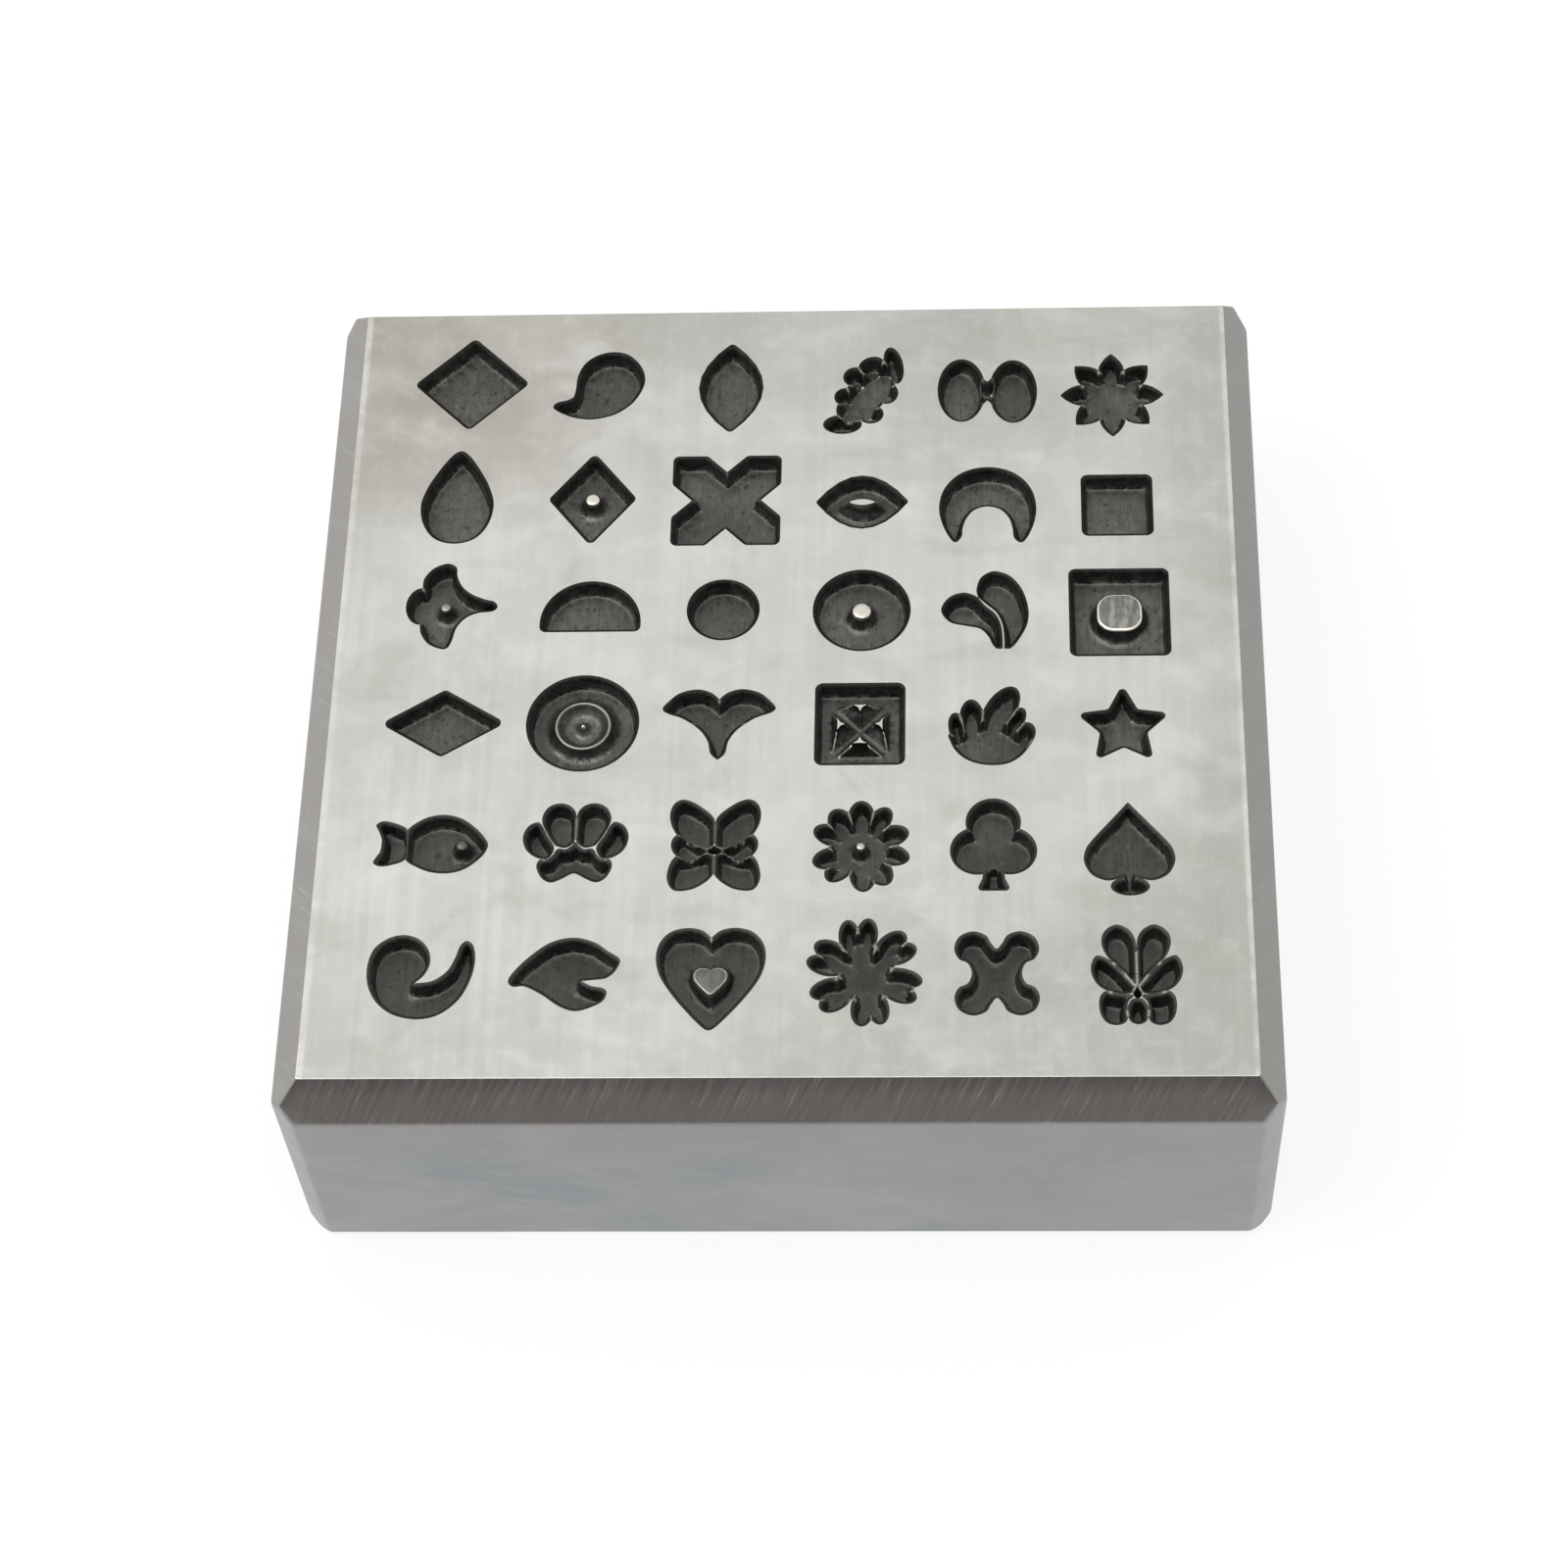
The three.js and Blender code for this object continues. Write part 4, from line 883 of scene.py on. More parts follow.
def ring(level):
    """The block's outline at a level: its sides' insets, and corners cut off below the mitres."""
    insets = [np.interp(-level, [-z for _, z in side], [x for x, _ in side]) for side in SIDE_PROFILES]
    out = []
    for k, leg in enumerate(UPRIGHT_LEGS):
        a, b = insets[k], insets[(k + 1) % 4]
        cut = max(leg - a - b, LEAST_LEG)
        ease = min(UPRIGHT_EDGE, UPRIGHT_EDGE_SHARE * cut)
        first, last = np.array([HALF - a, HALF - b - cut]), np.array([HALF - a - cut, HALF - b])
        slant = (last - first) / np.hypot(*(last - first))
        corner = []
        for at, u, v in ((first, np.array([0, -1.0]), slant), (last, -slant, np.array([-1.0, 0]))):
            corner += arc(at, u, v, ease)
        out.append(turned(corner, 90 * k))
    return np.vstack(out)


def softened(profile, radii):
    """A profile whose corners are replaced by small arcs, without its two ends."""
    out = []
    for before, corner, after, radius in zip(profile, profile[1:], profile[2:], radii):
        u, v = np.array(before) - corner, np.array(after) - corner
        u, v = u / np.hypot(*u), v / np.hypot(*v)
        out += [tuple(point) for point in arc(corner, u, v, radius)]
    return out


def side_profile(run, drop):
    """A side from the face down to the underside: how far in and how high each point lies."""
    corners = [
        (run + PROFILE_END, 0), (run, 0), (0, -drop),
        (0, FOOT_BEVEL - HEIGHT), (FOOT_BEVEL, -HEIGHT), (FOOT_BEVEL + PROFILE_END, -HEIGHT)]
    return softened([np.array(c, float) for c in corners], [FACE_EDGE, BEVEL_EDGE, FOOT_EDGE, SOLE_EDGE])


# Right, back, left and front, as seen from the front.
SIDE_PROFILES = [side_profile(run, drop) for run, drop in BEVELS]


def mitre_end(k):
    """The level at which a mitre runs out into its cut-off upright corner."""
    (run, drop), (next_run, next_drop) = BEVELS[k], BEVELS[(k + 1) % 4]
    return (UPRIGHT_LEGS[k] - run - next_run) / (run / drop + next_run / next_drop)


MITRE_ENDS = [mitre_end(k) for k in range(4)]


def border():
    """The edge of the face, a list of points for each of its sides; only the long sides are divided."""
    face = ring(0)
    sides = []
    for a, b in zip(face, np.roll(face, -1, 0)):
        long = np.hypot(*(b - a)) > BORDER_LEAST
        sides.append(resample(np.array([a, b]), BORDER_STEP, closed=False) if long else a[None])
    return sides


def build_block():
    """The face with its cavities as a mesh of triangles, and its border."""
    steps = border()
    pieces_per_side = [len(s) for s in steps]
    made, lines = [], []
    lobes, islands = cavity_lobes(), cavity_islands()
    for name, place in PLACES.items():
        cavity = Cavity(name, lobes[name], islands.get(name, []))
        centre = PITCH * np.array(place)
        edge, exact, crest, loose = cavity.points()
        lines += [line + centre for line in cavity.lines]
        exact, shine = exact[:, :2], exact[:, 2]
        crest = clear_of(thinned(crest, CREST_CELL), edge, CREST_GAPS.rim)
        crest = clear_of(crest, exact, CREST_GAPS.island)
        loose = clear_of(clear_of(loose, crest, LOOSE_GAPS.crest), edge, LOOSE_GAPS.rim)
        loose = thinned(clear_of(loose, exact, LOOSE_GAPS.island), LOOSE_CELL)
        points = np.vstack([edge, exact, crest, loose])
        shares = cavity.shares(points)
        depth = cavity.depth(points, shares)
        depth[:len(edge)] = np.where(depth[:len(edge)] < RIM_SNAP, 0, depth[:len(edge)])
        worn_and_sheen = cavity.wear_and_sheen(points, shares)
        worn_and_sheen[:len(edge)] = 0
        worn_and_sheen[len(edge):len(edge) + len(exact)] = shine
        made.append(np.c_[points + centre, -depth, worn_and_sheen, shares.max(0)])
    top = np.vstack(made)
    _, first = np.unique(np.round(top[:, :2], DECIMALS), axis=0, return_index=True)
    top = top[np.sort(first)]
    rim = np.vstack(steps)
    count = len(rim)
    flat = [Vector((float(x), float(y))) for x, y in np.vstack([rim, top[:, :2]])]
    edges = [(i, (i + 1) % count) for i in range(count)]
    index = {key: count + i for i, key in enumerate(map(tuple, np.round(top[:, :2], DECIMALS)))}
    for line in lines:
        ends = [index.get(key) for key in map(tuple, np.round(line, DECIMALS))]
        pairs = zip(ends, ends[1:])
        edges += [(a, b) for a, b in pairs if a is not None and b is not None and a != b]
    verts, _, faces, orig, _, _ = delaunay_2d_cdt(flat, edges, [], 1, NEAR)
    values = np.vstack([np.zeros((count, 3)), top[:, 2:]])
    z, worn_and_sheen, inward = np.array([values[o[0]] if o else np.zeros(3) for o in orig]).T
    xy = np.array([(v.x, v.y) for v in verts])
    where = {o: i for i, group in enumerate(orig) for o in group}
    boundary = [where[i] for i in range(count)]
    return xy, z, worn_and_sheen, inward, faces, boundary, pieces_per_side


def spread(points, per_side):
    """Points along the sides of a ring, as many on each as on the border of the face."""
    out = []
    for a, b, n in zip(points, np.roll(points, -1, 0), per_side):
        t = np.arange(n)[:, None] / n
        out.append(a + (b - a) * t)
    return np.vstack(out)


def read(items, name, count=1, kind=int):
    """A value, or a few, of every polygon, corner or edge."""
    out = np.zeros(count * len(items), kind)
    items.foreach_get(name, out)
    return out


def mark_edges(mesh, boundary):
    """Inside the cavities no edge is sharp, as the ridges there are worn. The borders of the face are."""
    zones, sizes = read(mesh.polygons, "material_index"), read(mesh.polygons, "loop_total")
    edge = read(mesh.loops, "edge_index")
    walls, faces = [np.bincount(edge[np.repeat(zones == zone, sizes)], minlength=len(mesh.edges))
                    for zone in (CAVITY, FACE)]
    sharp = read(mesh.edges, "use_edge_sharp", kind=bool)
    outer = np.isin(read(mesh.edges, "vertices", 2), boundary).reshape(-1, 2).all(1)
    rims = (walls == 1) & (faces == 1)
    mesh.edges.foreach_set("use_edge_sharp", (sharp & (walls < 2)) | rims | outer)


def flat_tops():
    """The middles of the islands with flat tops, and how far these reach."""
    islands = cavity_islands()
    return [(PITCH * np.array(PLACES[k]) + islands[k][0][0], reach) for k, reach in FLAT_TOPS.items()]


def block_object():
    """The plate: its face, then a ring of points for each level down its sides."""
    xy, z, worn_and_sheen, inward, faces, boundary, per_side = build_block()
    levels = {round(height, LEVEL_DECIMALS) for side in SIDE_PROFILES for _, height in side}
    levels = sorted(levels | set(MITRE_ENDS), reverse=True)
    segments = np.repeat(np.arange(4 * CORNER_POINTS), per_side)
    verts = [(x, y, h) for (x, y), h in zip(xy, z)]
    polys = [tuple(f) for f in faces]
    zone = []
    tops = flat_tops()
    for f in faces:
        middle = xy[list(f)].mean(0)
        top = any(np.hypot(*(middle - place)) < reach for place, reach in tops)
        level_with_face = z[list(f)].min() > -CLOSE
        zone.append((ISLAND_TOP if top else FACE) if level_with_face else CAVITY)
    previous = list(boundary)
    above = levels[0]
    for level in levels[1:]:
        points = spread(ring(level), per_side)
        start = len(verts)
        verts += [(x, y, level) for x, y in points]
        now = list(range(start, start + len(points)))
        middle, above = (above + level) / 2, level
        for i in range(len(now)):
            j = (i + 1) % len(now)
            polys.append((previous[i], now[i], now[j], previous[j]))
            corner, step = divmod(segments[i], CORNER_POINTS)
            along_side = step == CORNER_POINTS - 1
            below = middle < (-BEVELS[(corner + 1) % 4][1] if along_side else MITRE_ENDS[corner])
            zone.append(SIDE if below else FACE if middle > -FACE_EDGE_SHARE * FACE_EDGE else BEVEL)
        previous = now
    polys.append(tuple(reversed(previous)))
    zone.append(SIDE)
    mesh = bpy.data.meshes.new("plate")
    mesh.from_pydata([(x * MM, y * MM, (h + HEIGHT) * MM) for x, y, h in verts], [], polys)
    mesh.validate()
    mesh.polygons.foreach_set("use_smooth", [True] * len(mesh.polygons))
    mesh.polygons.foreach_set("material_index", zone[:len(mesh.polygons)])
    mesh.set_sharp_from_angle(angle=SHARP_TURN)
    mark_edges(mesh, boundary)
    for name, values in (("crest", worn_and_sheen), ("inward", inward)):
        attribute = mesh.attributes.new(name, "FLOAT", "POINT")
        values = np.r_[values, np.zeros(len(verts) - len(values))]
        attribute.data.foreach_set("value", values.astype(np.float32))
    obj = bpy.data.objects.new("plate", mesh)
    bpy.context.scene.collection.objects.link(obj)
    return obj


# Materials

class Nodes:
    """Short ways to build a node tree."""

    def __init__(self, name):
        self.material = bpy.data.materials.new(name)
        self.material.use_nodes = True
        self.tree = self.material.node_tree
        self.tree.nodes.clear()
        self.output = self.add("ShaderNodeOutputMaterial")

    def add(self, kind, inputs=None, **settings):
        node = self.tree.nodes.new(kind)
        for key, value in settings.items():
            setattr(node, key, value)
        for key, value in (inputs or {}).items():
            self.put(node.inputs[key], value)
        return node

    def put(self, socket, value):
        """Links an output or sets a value; a colour is a tuple of red, green and blue."""
        if hasattr(value, "is_output"):
            self.tree.links.new(value, socket)
        elif isinstance(value, tuple):
            socket.default_value = (*value, 1)
        else:
            socket.default_value = value

    def math(self, operation, a, b=0.0, clamp=False):
        node = self.add("ShaderNodeMath", operation=operation, use_clamp=clamp)
        self.put(node.inputs[0], a)
        self.put(node.inputs[1], b)
        return node.outputs[0]

    def times(self, a, b):
        return self.math("MULTIPLY", a, b)

    def plus(self, a, b):
        return self.math("ADD", a, b)

    def larger(self, a, b):
        return self.math("MAXIMUM", a, b)

    def stored(self, name):
        """A value kept on the points of the mesh."""
        return self.add("ShaderNodeAttribute", attribute_name=name).outputs["Fac"]

    def position(self, scale=(1, 1, 1), turn=(0, 0, 0)):
        """Millimetres in the block's own frame, stretched along its axes."""
        where = self.add("ShaderNodeTexCoord").outputs["Object"]
        mapping = self.add("ShaderNodeMapping", {"Vector": where})
        mapping.inputs["Scale"].default_value = [s / MM for s in scale]
        mapping.inputs["Rotation"].default_value = [math.radians(t) for t in turn]
        return mapping.outputs[0]

    def place(self):
        """The place in millimetres, as its three parts."""
        return self.add("ShaderNodeSeparateXYZ", {0: self.position()}).outputs

    def facing(self):
        """The way the surface faces, as its three parts."""
        normal = self.add("ShaderNodeTexCoord").outputs["Normal"]
        return self.add("ShaderNodeSeparateXYZ", {0: normal}).outputs

    def noise(self, vector, scale, detail=3.0, roughness=0.5, distortion=0.0):
        node = self.add("ShaderNodeTexNoise", {
            "Vector": vector, "Scale": scale, "Detail": detail,
            "Roughness": roughness, "Distortion": distortion})
        return node.outputs["Fac"]

    def span(self, value, low, high, out_low=0.0, out_high=1.0):
        """A smooth step from one value to another."""
        node = self.add("ShaderNodeMapRange", {
            "Value": value, "From Min": low, "From Max": high, "To Min": out_low, "To Max": out_high,
        }, interpolation_type="SMOOTHSTEP")
        return node.outputs[0]

    def mix(self, factor, a, b):
        node = self.add("ShaderNodeMix", data_type="RGBA")
        self.put(node.inputs[0], factor)
        self.put(node.inputs[6], a)
        self.put(node.inputs[7], b)
        return node.outputs[2]

    def bump(self, height, strength, distance):
        node = self.add("ShaderNodeBump", {
            "Height": height, "Strength": strength, "Distance": distance * MM})
        return node.outputs[0]

    def metal(self, colour, roughness, normal=None, metallic=1.0):
        node = self.add("ShaderNodeBsdfPrincipled", {
            "Base Color": colour, "Roughness": roughness, "Metallic": metallic})
        if normal is not None:
            self.put(node.inputs["Normal"], normal)
        self.tree.links.new(node.outputs[0], self.output.inputs[0])
        return self.material


def face_steel():
    """The ground face: long fine streaks, painted shade towards the borders, painted highlights along its
    left and right borders, clouds, smudges and a few dark specks.
    """
    n = Nodes("ground_face")
    where = n.place()
    streak = n.noise(n.position((1.5, 0.035, 1)), 1.0, 4, 0.6)
    fine = n.noise(n.position((9.0, 0.45, 1)), 1.0, 3, 0.6)
    broad = n.noise(n.position(), 0.06, 3, 0.55, 0.4)
    cloud = n.noise(n.position(), 0.5, 4, 0.65, 0.6)
    # Painted shade: the middle is the brightest; the borders are darker, most of all at the right and in
    # the far corners, with broad clouds of random tone and a lighter front left corner.
    across = n.math("POWER", n.math("DIVIDE", n.plus(where[0], 7.0), 37.0), 2.0)
    along = n.math("POWER", n.math("DIVIDE", n.math("SUBTRACT", where[1], 1.0), 31.0), 2.0)
    border_shade = n.span(n.plus(across, along), 0.1, 1.6)
    border_shade = n.plus(border_shade, n.span(broad, 0.35, 0.65, -0.3, 0.3))
    light_corner = n.span(where[1], -6.0, -22.0, 0.0, 0.5)
    light_corner = n.times(n.span(where[0], -10.0, -24.0), light_corner)
    border_shade = n.math("MAXIMUM", n.math("SUBTRACT", border_shade, light_corner), 0.0, clamp=True)
    base = n.mix(border_shade, (0.598, 0.595, 0.558), (0.45, 0.45, 0.415))
    warm = n.times(n.span(where[0], -4.0, -26.0), n.span(where[1], 8.0, 24.0))
    base = n.mix(n.times(warm, n.span(broad, 0.4, 0.6, 0.35, 1.0)), base, (0.40, 0.365, 0.32))
    # Painted highlight: lighter bands along the left and right borders of the face.
    left_highlight = n.span(where[0], 2.45 - HALF, 2.2 - HALF)
    edge = n.larger(left_highlight, n.span(where[0], HALF - 2.2, HALF - 1.95))
    base = n.mix(n.times(edge, n.span(cloud, 0.35, 0.6, 0.3, 0.75)), base, (0.67, 0.67, 0.62))
    base = n.mix(n.span(cloud, 0.45, 0.7, 0.0, 0.16), base, (0.74, 0.74, 0.70))
    base = n.mix(n.span(streak, 0.32, 0.68, 0.1, 0.0), base, (0.34, 0.34, 0.315))
    smudge = n.noise(n.position((1, 1.6, 1), (0, 0, 30)), 0.14, 3, 0.55, 0.5)
    base = n.mix(n.span(smudge, 0.5, 0.7, 0.0, 0.3), base, (0.74, 0.74, 0.70))
    base = n.mix(n.span(smudge, 0.45, 0.3, 0.0, 0.3), base, (0.40, 0.395, 0.35))
    base = n.mix(n.span(fine, 0.55, 0.8, 0.0, 0.15), base, (0.78, 0.78, 0.75))
    specks = n.noise(n.position(), 3.1, 1, 0.4)
    base = n.mix(n.span(specks, 0.76, 0.84, 0.0, 0.3), base, (0.16, 0.155, 0.15))
    rough = n.plus(n.times(streak, 0.5), n.times(cloud, 0.5))
    rough = n.span(rough, 0.3, 0.7, 0.33, 0.43)
    height = n.plus(n.times(streak, 0.6), n.times(fine, 0.4))
    return n.metal(base, rough, n.bump(height, 0.2, 0.01))


def cavity_steel():
    """Painted shade in the cavities: near-black walls and grey rubbed floors that darken towards the walls;
    painted highlights where the walls run into the floors; bright wear with painted highlight on ridges and
    posts.
    """
    n = Nodes("cavity_shade_and_wear")
    streak = n.noise(n.position((2.6, 0.5, 0.5), (0, 0, 8)), 1.0, 4, 0.65)
    mottle = n.noise(n.position(), 1.3, 5, 0.65, 0.8)
    rubs = n.noise(n.position((3.5, 3.5, 1)), 1.0, 4, 0.7, 1.5)
    where = n.place()
    depth = n.math("SUBTRACT", HEIGHT, where[2])
    inward = n.stored("inward")
    # Painted shade: the floors darken towards the walls.
    far_in = n.plus(inward, n.span(mottle, 0.3, 0.7, -0.25, 0.25))
    floor = n.times(n.span(depth, 0.7 * SINK, 0.97 * SINK), n.span(far_in, 0.6, 2.2, 0.3, 1.0))
    patch = n.noise(n.position(), 0.11, 1, 0.5)
    grey = n.mix(n.span(mottle, 0.3, 0.7), (0.078, 0.078, 0.073), (0.13, 0.129, 0.121))
    grey = n.mix(n.span(streak, 0.3, 0.7, 0.0, 0.5), grey, (0.165, 0.163, 0.15))
    lines = n.noise(n.position((6.5, 0.4, 0.5)), 1.0, 3, 0.65)
    grey = n.mix(n.span(lines, 0.55, 0.7, 0.0, 0.5), grey, (0.035, 0.034, 0.032))
    grey = n.mix(n.span(lines, 0.42, 0.28, 0.0, 0.5), grey, (0.2, 0.198, 0.185))
    grey = n.mix(n.span(patch, 0.4, 0.6, 0.0, 0.45), grey, (0.05, 0.05, 0.046))
    grey = n.mix(n.span(rubs, 0.56, 0.72, 0.0, 0.55), grey, (0.03, 0.03, 0.028))
    pits = n.noise(n.position(), 2.3, 2, 0.5, 0.6)
    grey = n.mix(n.span(pits, 0.62, 0.7, 0.0, 0.6), grey, (0.02, 0.02, 0.019))
    grey = n.mix(n.span(pits, 0.36, 0.28, 0.0, 0.5), grey, (0.2, 0.198, 0.185))
    # Painted shade: the cavities nearest the front have the darkest floors.
    grey = n.mix(n.span(where[1], 3.0, -22.0, 0.0, 0.6), grey, (0.035, 0.035, 0.032))
    # Painted shade on the walls: near-black, darkest at the rim, lighter further down and lighter towards
    # the front of the plate.
    rim = n.mix(n.span(mottle, 0.35, 0.7), (0.016, 0.016, 0.015), (0.032, 0.031, 0.029))
    upper = n.mix(n.span(mottle, 0.35, 0.7), (0.05, 0.05, 0.046), (0.09, 0.089, 0.083))
    upper = n.mix(n.span(depth, 0.6 * RIM_DROP, 1.6 * RIM_DROP), rim, upper)
    lower = n.mix(n.span(mottle, 0.35, 0.7), (0.062, 0.062, 0.058), (0.14, 0.138, 0.13))
    wall_shade = n.mix(n.span(depth, 0.2 * SINK, 0.65 * SINK), upper, lower)
    wall_shade = n.mix(n.span(where[1], 3.0, -22.0, 0.0, 0.3), wall_shade, (0.13, 0.128, 0.12))
    base = n.mix(floor, wall_shade, grey)
    # Painted highlight in the coves where the walls run into the floors.
    cove_highlight = n.times(n.span(depth, 0.72 * SINK, 0.86 * SINK), n.span(depth, 0.99 * SINK, 0.93 * SINK))
    cove_highlight = n.times(cove_highlight, n.span(inward, 1.3, 1.0, 0.35, 1.0))
    base = n.mix(n.times(cove_highlight, n.span(rubs, 0.47, 0.64, 0.0, 0.95)), base, (0.45, 0.44, 0.41))
    # Painted highlight: where a far wall runs into the floor, some stretches of it are lightened as if they
    # shone.
    facing = n.facing()
    far_wall_glint = n.times(n.span(facing[1], -0.1, -0.5), n.span(mottle, 0.48, 0.6, 0.0, 0.8))
    base = n.mix(n.times(cove_highlight, far_wall_glint), base, (0.55, 0.54, 0.5))
    # Bright wear with painted highlight on ridges and islands.
    worn_and_sheen = n.stored("crest")
    shine = n.times(worn_and_sheen, n.span(mottle, 0.25, 0.5, 0.6, 1.0))
    base = n.mix(shine, base, (0.80, 0.76, 0.66))
    rough = n.mix(n.larger(shine, cove_highlight), n.span(mottle, 0.3, 0.7, 0.42, 0.56), (0.3, 0.3, 0.3))
    height = n.plus(n.plus(streak, mottle), n.plus(rubs, lines))
    return n.metal(base, rough, n.bump(height, 0.35, 0.014))


def bevel_steel():
    """Hand-ground bevels: fine slanting marks, worked out along each bevel's own length, with painted shade
    on the front, back and right bevels.
    """
    n = Nodes("bevel_grinding")
    where = n.place()
    facing = n.facing()
    sideways = n.math("GREATER_THAN", n.math("ABSOLUTE", facing[0]), n.math("ABSOLUTE", facing[1]))
    length = n.add("ShaderNodeMix", {0: sideways, 2: where[0], 3: where[1]}).outputs[0]
    slant = n.add("ShaderNodeMix", {0: sideways, 2: -0.55, 3: 1.1}).outputs[0]
    across = n.plus(length, n.times(where[2], slant))

    def slanting(per_length, per_height, detail, roughness):
        at = {0: n.times(across, per_length), 1: n.times(where[2], per_height)}
        return n.noise(n.add("ShaderNodeCombineXYZ", at).outputs[0], 1.0, detail, roughness)

    marks = slanting(4.2, 0.35, 4, 0.65)
    bands = slanting(0.35, 0.1, 3, 0.5)
    base = n.mix(n.span(marks, 0.3, 0.7), (0.305, 0.298, 0.285), (0.365, 0.357, 0.34))
    base = n.mix(n.span(bands, 0.3, 0.7, 0, 0.5), base, (0.29, 0.262, 0.255))
    # Painted shade: the front and back bevels are darker.
    front_back_shade = n.math("SUBTRACT", 1.0, sideways)
    base = n.mix(n.times(front_back_shade, 0.4), base, (0.29, 0.262, 0.255))
    base = n.mix(n.span(marks, 0.6, 0.74, 0, 0.75), base, (0.52, 0.5, 0.48))
    # Painted shade: the right bevel is darker.
    right_bevel_shade = n.times(sideways, n.math("GREATER_THAN", where[0], 0.0))
    base = n.mix(n.times(right_bevel_shade, 0.5), base, (0.235, 0.24, 0.23))
    rough = n.span(marks, 0.3, 0.7, 0.34, 0.42)
    return n.metal(base, rough, n.bump(marks, 0.12, 0.008))


def side_steel():
    """The sides and the underside: plain ground steel with faint clouds, its base colour kept darker than
    the face's as painted shade.
    """
    n = Nodes("side_steel")
    grain = n.noise(n.position((0.25, 0.25, 3.0)), 1.0, 3, 0.55)
    broad = n.noise(n.position((1, 1, 1.6)), 0.09, 3, 0.5, 0.5)
    patch = n.noise(n.position((1, 1, 2)), 0.3, 2, 0.5, 0.8)
    # Painted shade: the base colour is kept darker than the face's, as the sides catch less light.
    base = n.mix(n.span(broad, 0.35, 0.65), (0.268, 0.284, 0.292), (0.318, 0.318, 0.318))
    base = n.mix(n.span(patch, 0.45, 0.7, 0, 0.3), base, (0.35, 0.36, 0.36))
    # The upper and the right part are a little warmer than the rest.
    where = n.place()
    high = n.larger(n.span(where[2], 9.0, 15.0), n.span(n.plus(where[0], patch), 10.0, 12.5))
    base = n.mix(n.times(high, 0.4), base, (0.31, 0.302, 0.306))
    rough = n.span(grain, 0.3, 0.7, 0.3, 0.36)
    return n.metal(base, rough, n.bump(grain, 0.08, 0.006))


def island_steel():
    """The flat tops of the drum and the heart: dull, with rubbed streaks, and painted shade towards the
    front.
    """
    n = Nodes("island_top")
    streak = n.noise(n.position((2.6, 0.35, 1)), 1.0, 3, 0.6)
    mottle = n.noise(n.position(), 1.4, 3, 0.6)
    base = n.mix(n.span(streak, 0.35, 0.65), (0.15, 0.148, 0.132), (0.33, 0.322, 0.292))
    base = n.mix(n.span(mottle, 0.4, 0.6, 0, 0.6), base, (0.14, 0.138, 0.125))
    where = n.place()
    # Painted shade: tops nearer the front are darker.
    base = n.mix(n.span(where[1], -5.0, -15.0, 0, 0.75), base, (0.12, 0.12, 0.108))
    return n.metal(base, n.span(streak, 0.3, 0.7, 0.36, 0.46), n.bump(streak, 0.2, 0.01))


def plain(name, colour, roughness):
    return Nodes(name).metal(colour, roughness, metallic=0.0)


# The scene

plate = block_object()
for material in (face_steel(), cavity_steel(), bevel_steel(), side_steel(), island_steel()):
    plate.data.materials.append(material)
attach(plate, "root")
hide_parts("plate_block")


def put(obj, centre, facing):
    """Links a flat thing at a place in millimetres, facing a direction."""
    turn = facing.to_track_quat("Z", "Y").to_matrix().to_4x4()
    obj.matrix_world = Matrix.Translation([c * MM for c in centre]) @ turn
    bpy.context.scene.collection.objects.link(obj)


def card(name, size, centre, facing, material, camera_sees=True):
    """A flat rectangle that faces a direction, in millimetres."""
    x, y = size[0] / 2 * MM, size[1] / 2 * MM
    mesh = bpy.data.meshes.new(name)
    mesh.from_pydata([(-x, -y, 0), (x, -y, 0), (x, y, 0), (-x, y, 0)], [], [(0, 1, 2, 3)])
    mesh.materials.append(material)
    obj = bpy.data.objects.new(name, mesh)
    put(obj, centre, Vector(facing))
    obj.visible_camera = camera_sees


def studio_floor():
    """White to the camera and in the metal's reflections, with a faint shadow under the block."""
    n = Nodes("floor")
    diffuse = n.add("ShaderNodeBsdfDiffuse", {"Color": (0.93, 0.93, 0.93)})
    white = n.add("ShaderNodeEmission", {"Color": (1, 1, 1), "Strength": 1.0})
    path = n.add("ShaderNodeLightPath").outputs
    seen = n.larger(path["Is Camera Ray"], path["Is Glossy Ray"])
    seen = n.larger(seen, path["Is Transmission Ray"])
    share = n.times(seen, FLOOR_WHITE)
    both = n.add("ShaderNodeMixShader", {0: share})
    n.tree.links.new(diffuse.outputs[0], both.inputs[1])
    n.tree.links.new(white.outputs[0], both.inputs[2])
    n.tree.links.new(both.outputs[0], n.output.inputs[0])
    return n.material


# The share of plain white in the floor, and the dark card before the block that its front bevel mirrors.
FLOOR_WHITE = 0.82
FLAG_COLOUR = (0.055, 0.053, 0.052)
card("floor", (6000, 6000), (0, 0, 0), (0, 0, 1), studio_floor())
flag = plain("flag", FLAG_COLOUR, 0.9)
card("front_flag", (900, 190), (0, -260, 105), (0, 1, 0), flag, camera_sees=False)

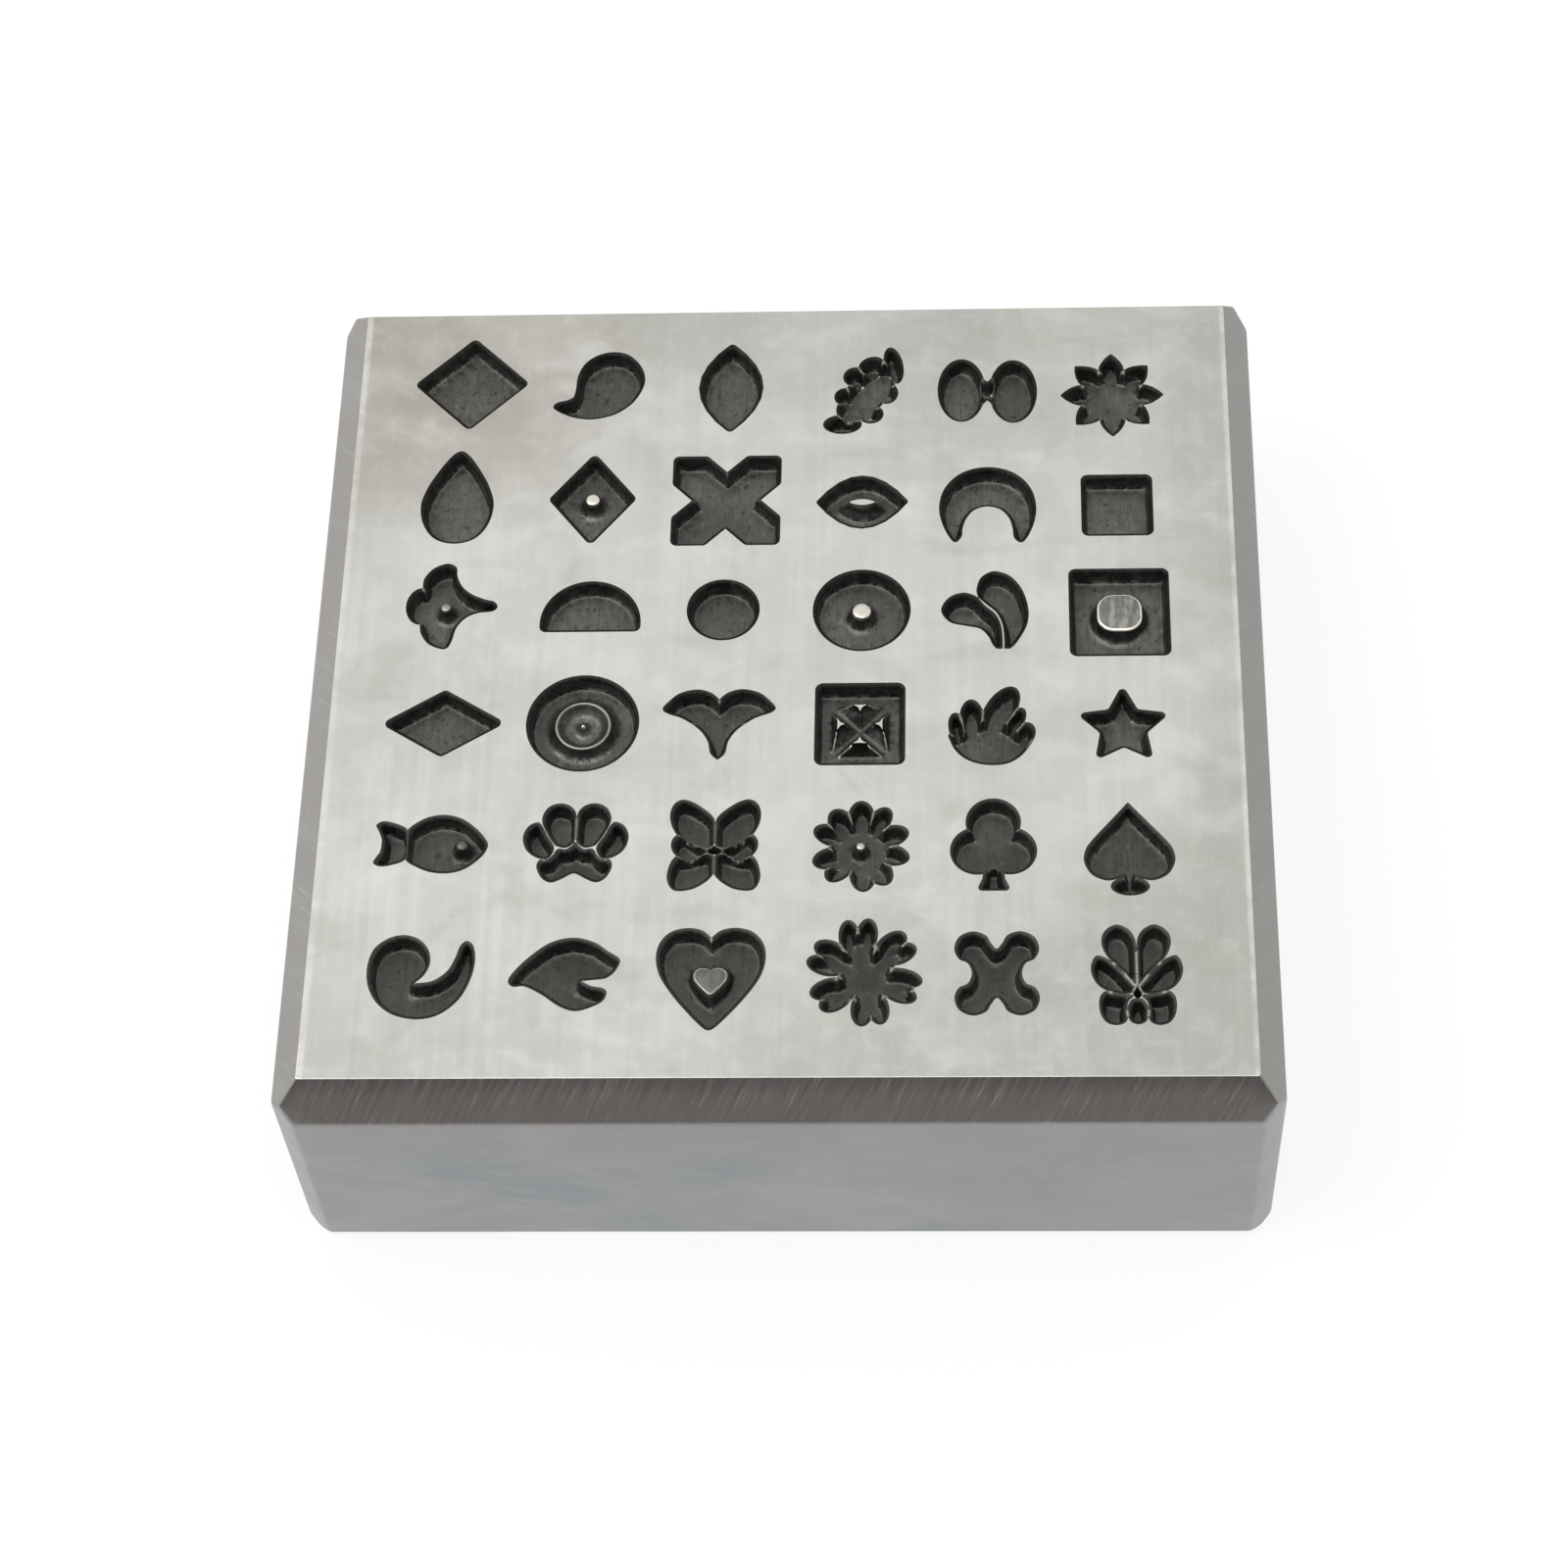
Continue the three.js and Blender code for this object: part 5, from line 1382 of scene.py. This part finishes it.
world = bpy.data.worlds.new("studio")
bpy.context.scene.world = world
world.use_nodes = True
background = world.node_tree.nodes["Background"]
background.inputs["Color"].default_value = (1, 1, 1, 1)
background.inputs["Strength"].default_value = 1.0


def area(name, size, centre, target, watts):
    """A rectangular lamp that the camera doesn't see."""
    light = bpy.data.lights.new(name, "AREA")
    light.shape = "RECTANGLE"
    light.size, light.size_y = size[0] * MM, size[1] * MM
    light.energy = watts
    obj = bpy.data.objects.new(name, light)
    put(obj, centre, Vector(centre) - Vector(target))
    obj.visible_camera = False


LIT_POINT = (0, 0, 10)
area("key", (500, 500), (-500, -100, 800), LIT_POINT, 3.0)
area("top", (260, 220), (40, -170, 850), LIT_POINT, 0.9)

# The camera, as fitted to the block's edges in the photo. Its aim and its distance from there are in widths
# of the block, its focal length in widths of the picture, and its clipping in metres.
AZIMUTH = math.radians(5.656)
ELEVATION = math.radians(58.657)
ROLL = math.radians(-5.243)
AIM = (0.0033, -0.136)
DISTANCE = 3.9089
FOCAL_SHARE = 3914.36 / 1600
SENSOR = 36
CLIPPING = (0.01, 20)
reach = math.cos(ELEVATION)
back = Vector((math.sin(AZIMUTH) * reach, -math.cos(AZIMUTH) * reach, math.sin(ELEVATION)))
right = Vector((math.cos(AZIMUTH), math.sin(AZIMUTH), 0))
up = back.cross(right)
right, up = (math.cos(ROLL) * right + math.sin(ROLL) * up, math.cos(ROLL) * up - math.sin(ROLL) * right)
width = 2 * HALF
target = Vector((AIM[0] * width, AIM[1] * width, HEIGHT))
spot = (target + back * DISTANCE * width) * MM
camera_data = bpy.data.cameras.new("camera")
camera_data.sensor_width = SENSOR
camera_data.lens = FOCAL_SHARE * SENSOR
camera_data.clip_start, camera_data.clip_end = CLIPPING
camera = bpy.data.objects.new("camera", camera_data)
camera.matrix_world = Matrix((
    (right.x, up.x, back.x, spot.x),
    (right.y, up.y, back.y, spot.y),
    (right.z, up.z, back.z, spot.z),
    (0, 0, 0, 1),
))
bpy.context.scene.collection.objects.link(camera)
bpy.context.scene.camera = camera
bpy.context.scene.view_settings.view_transform = "Standard"
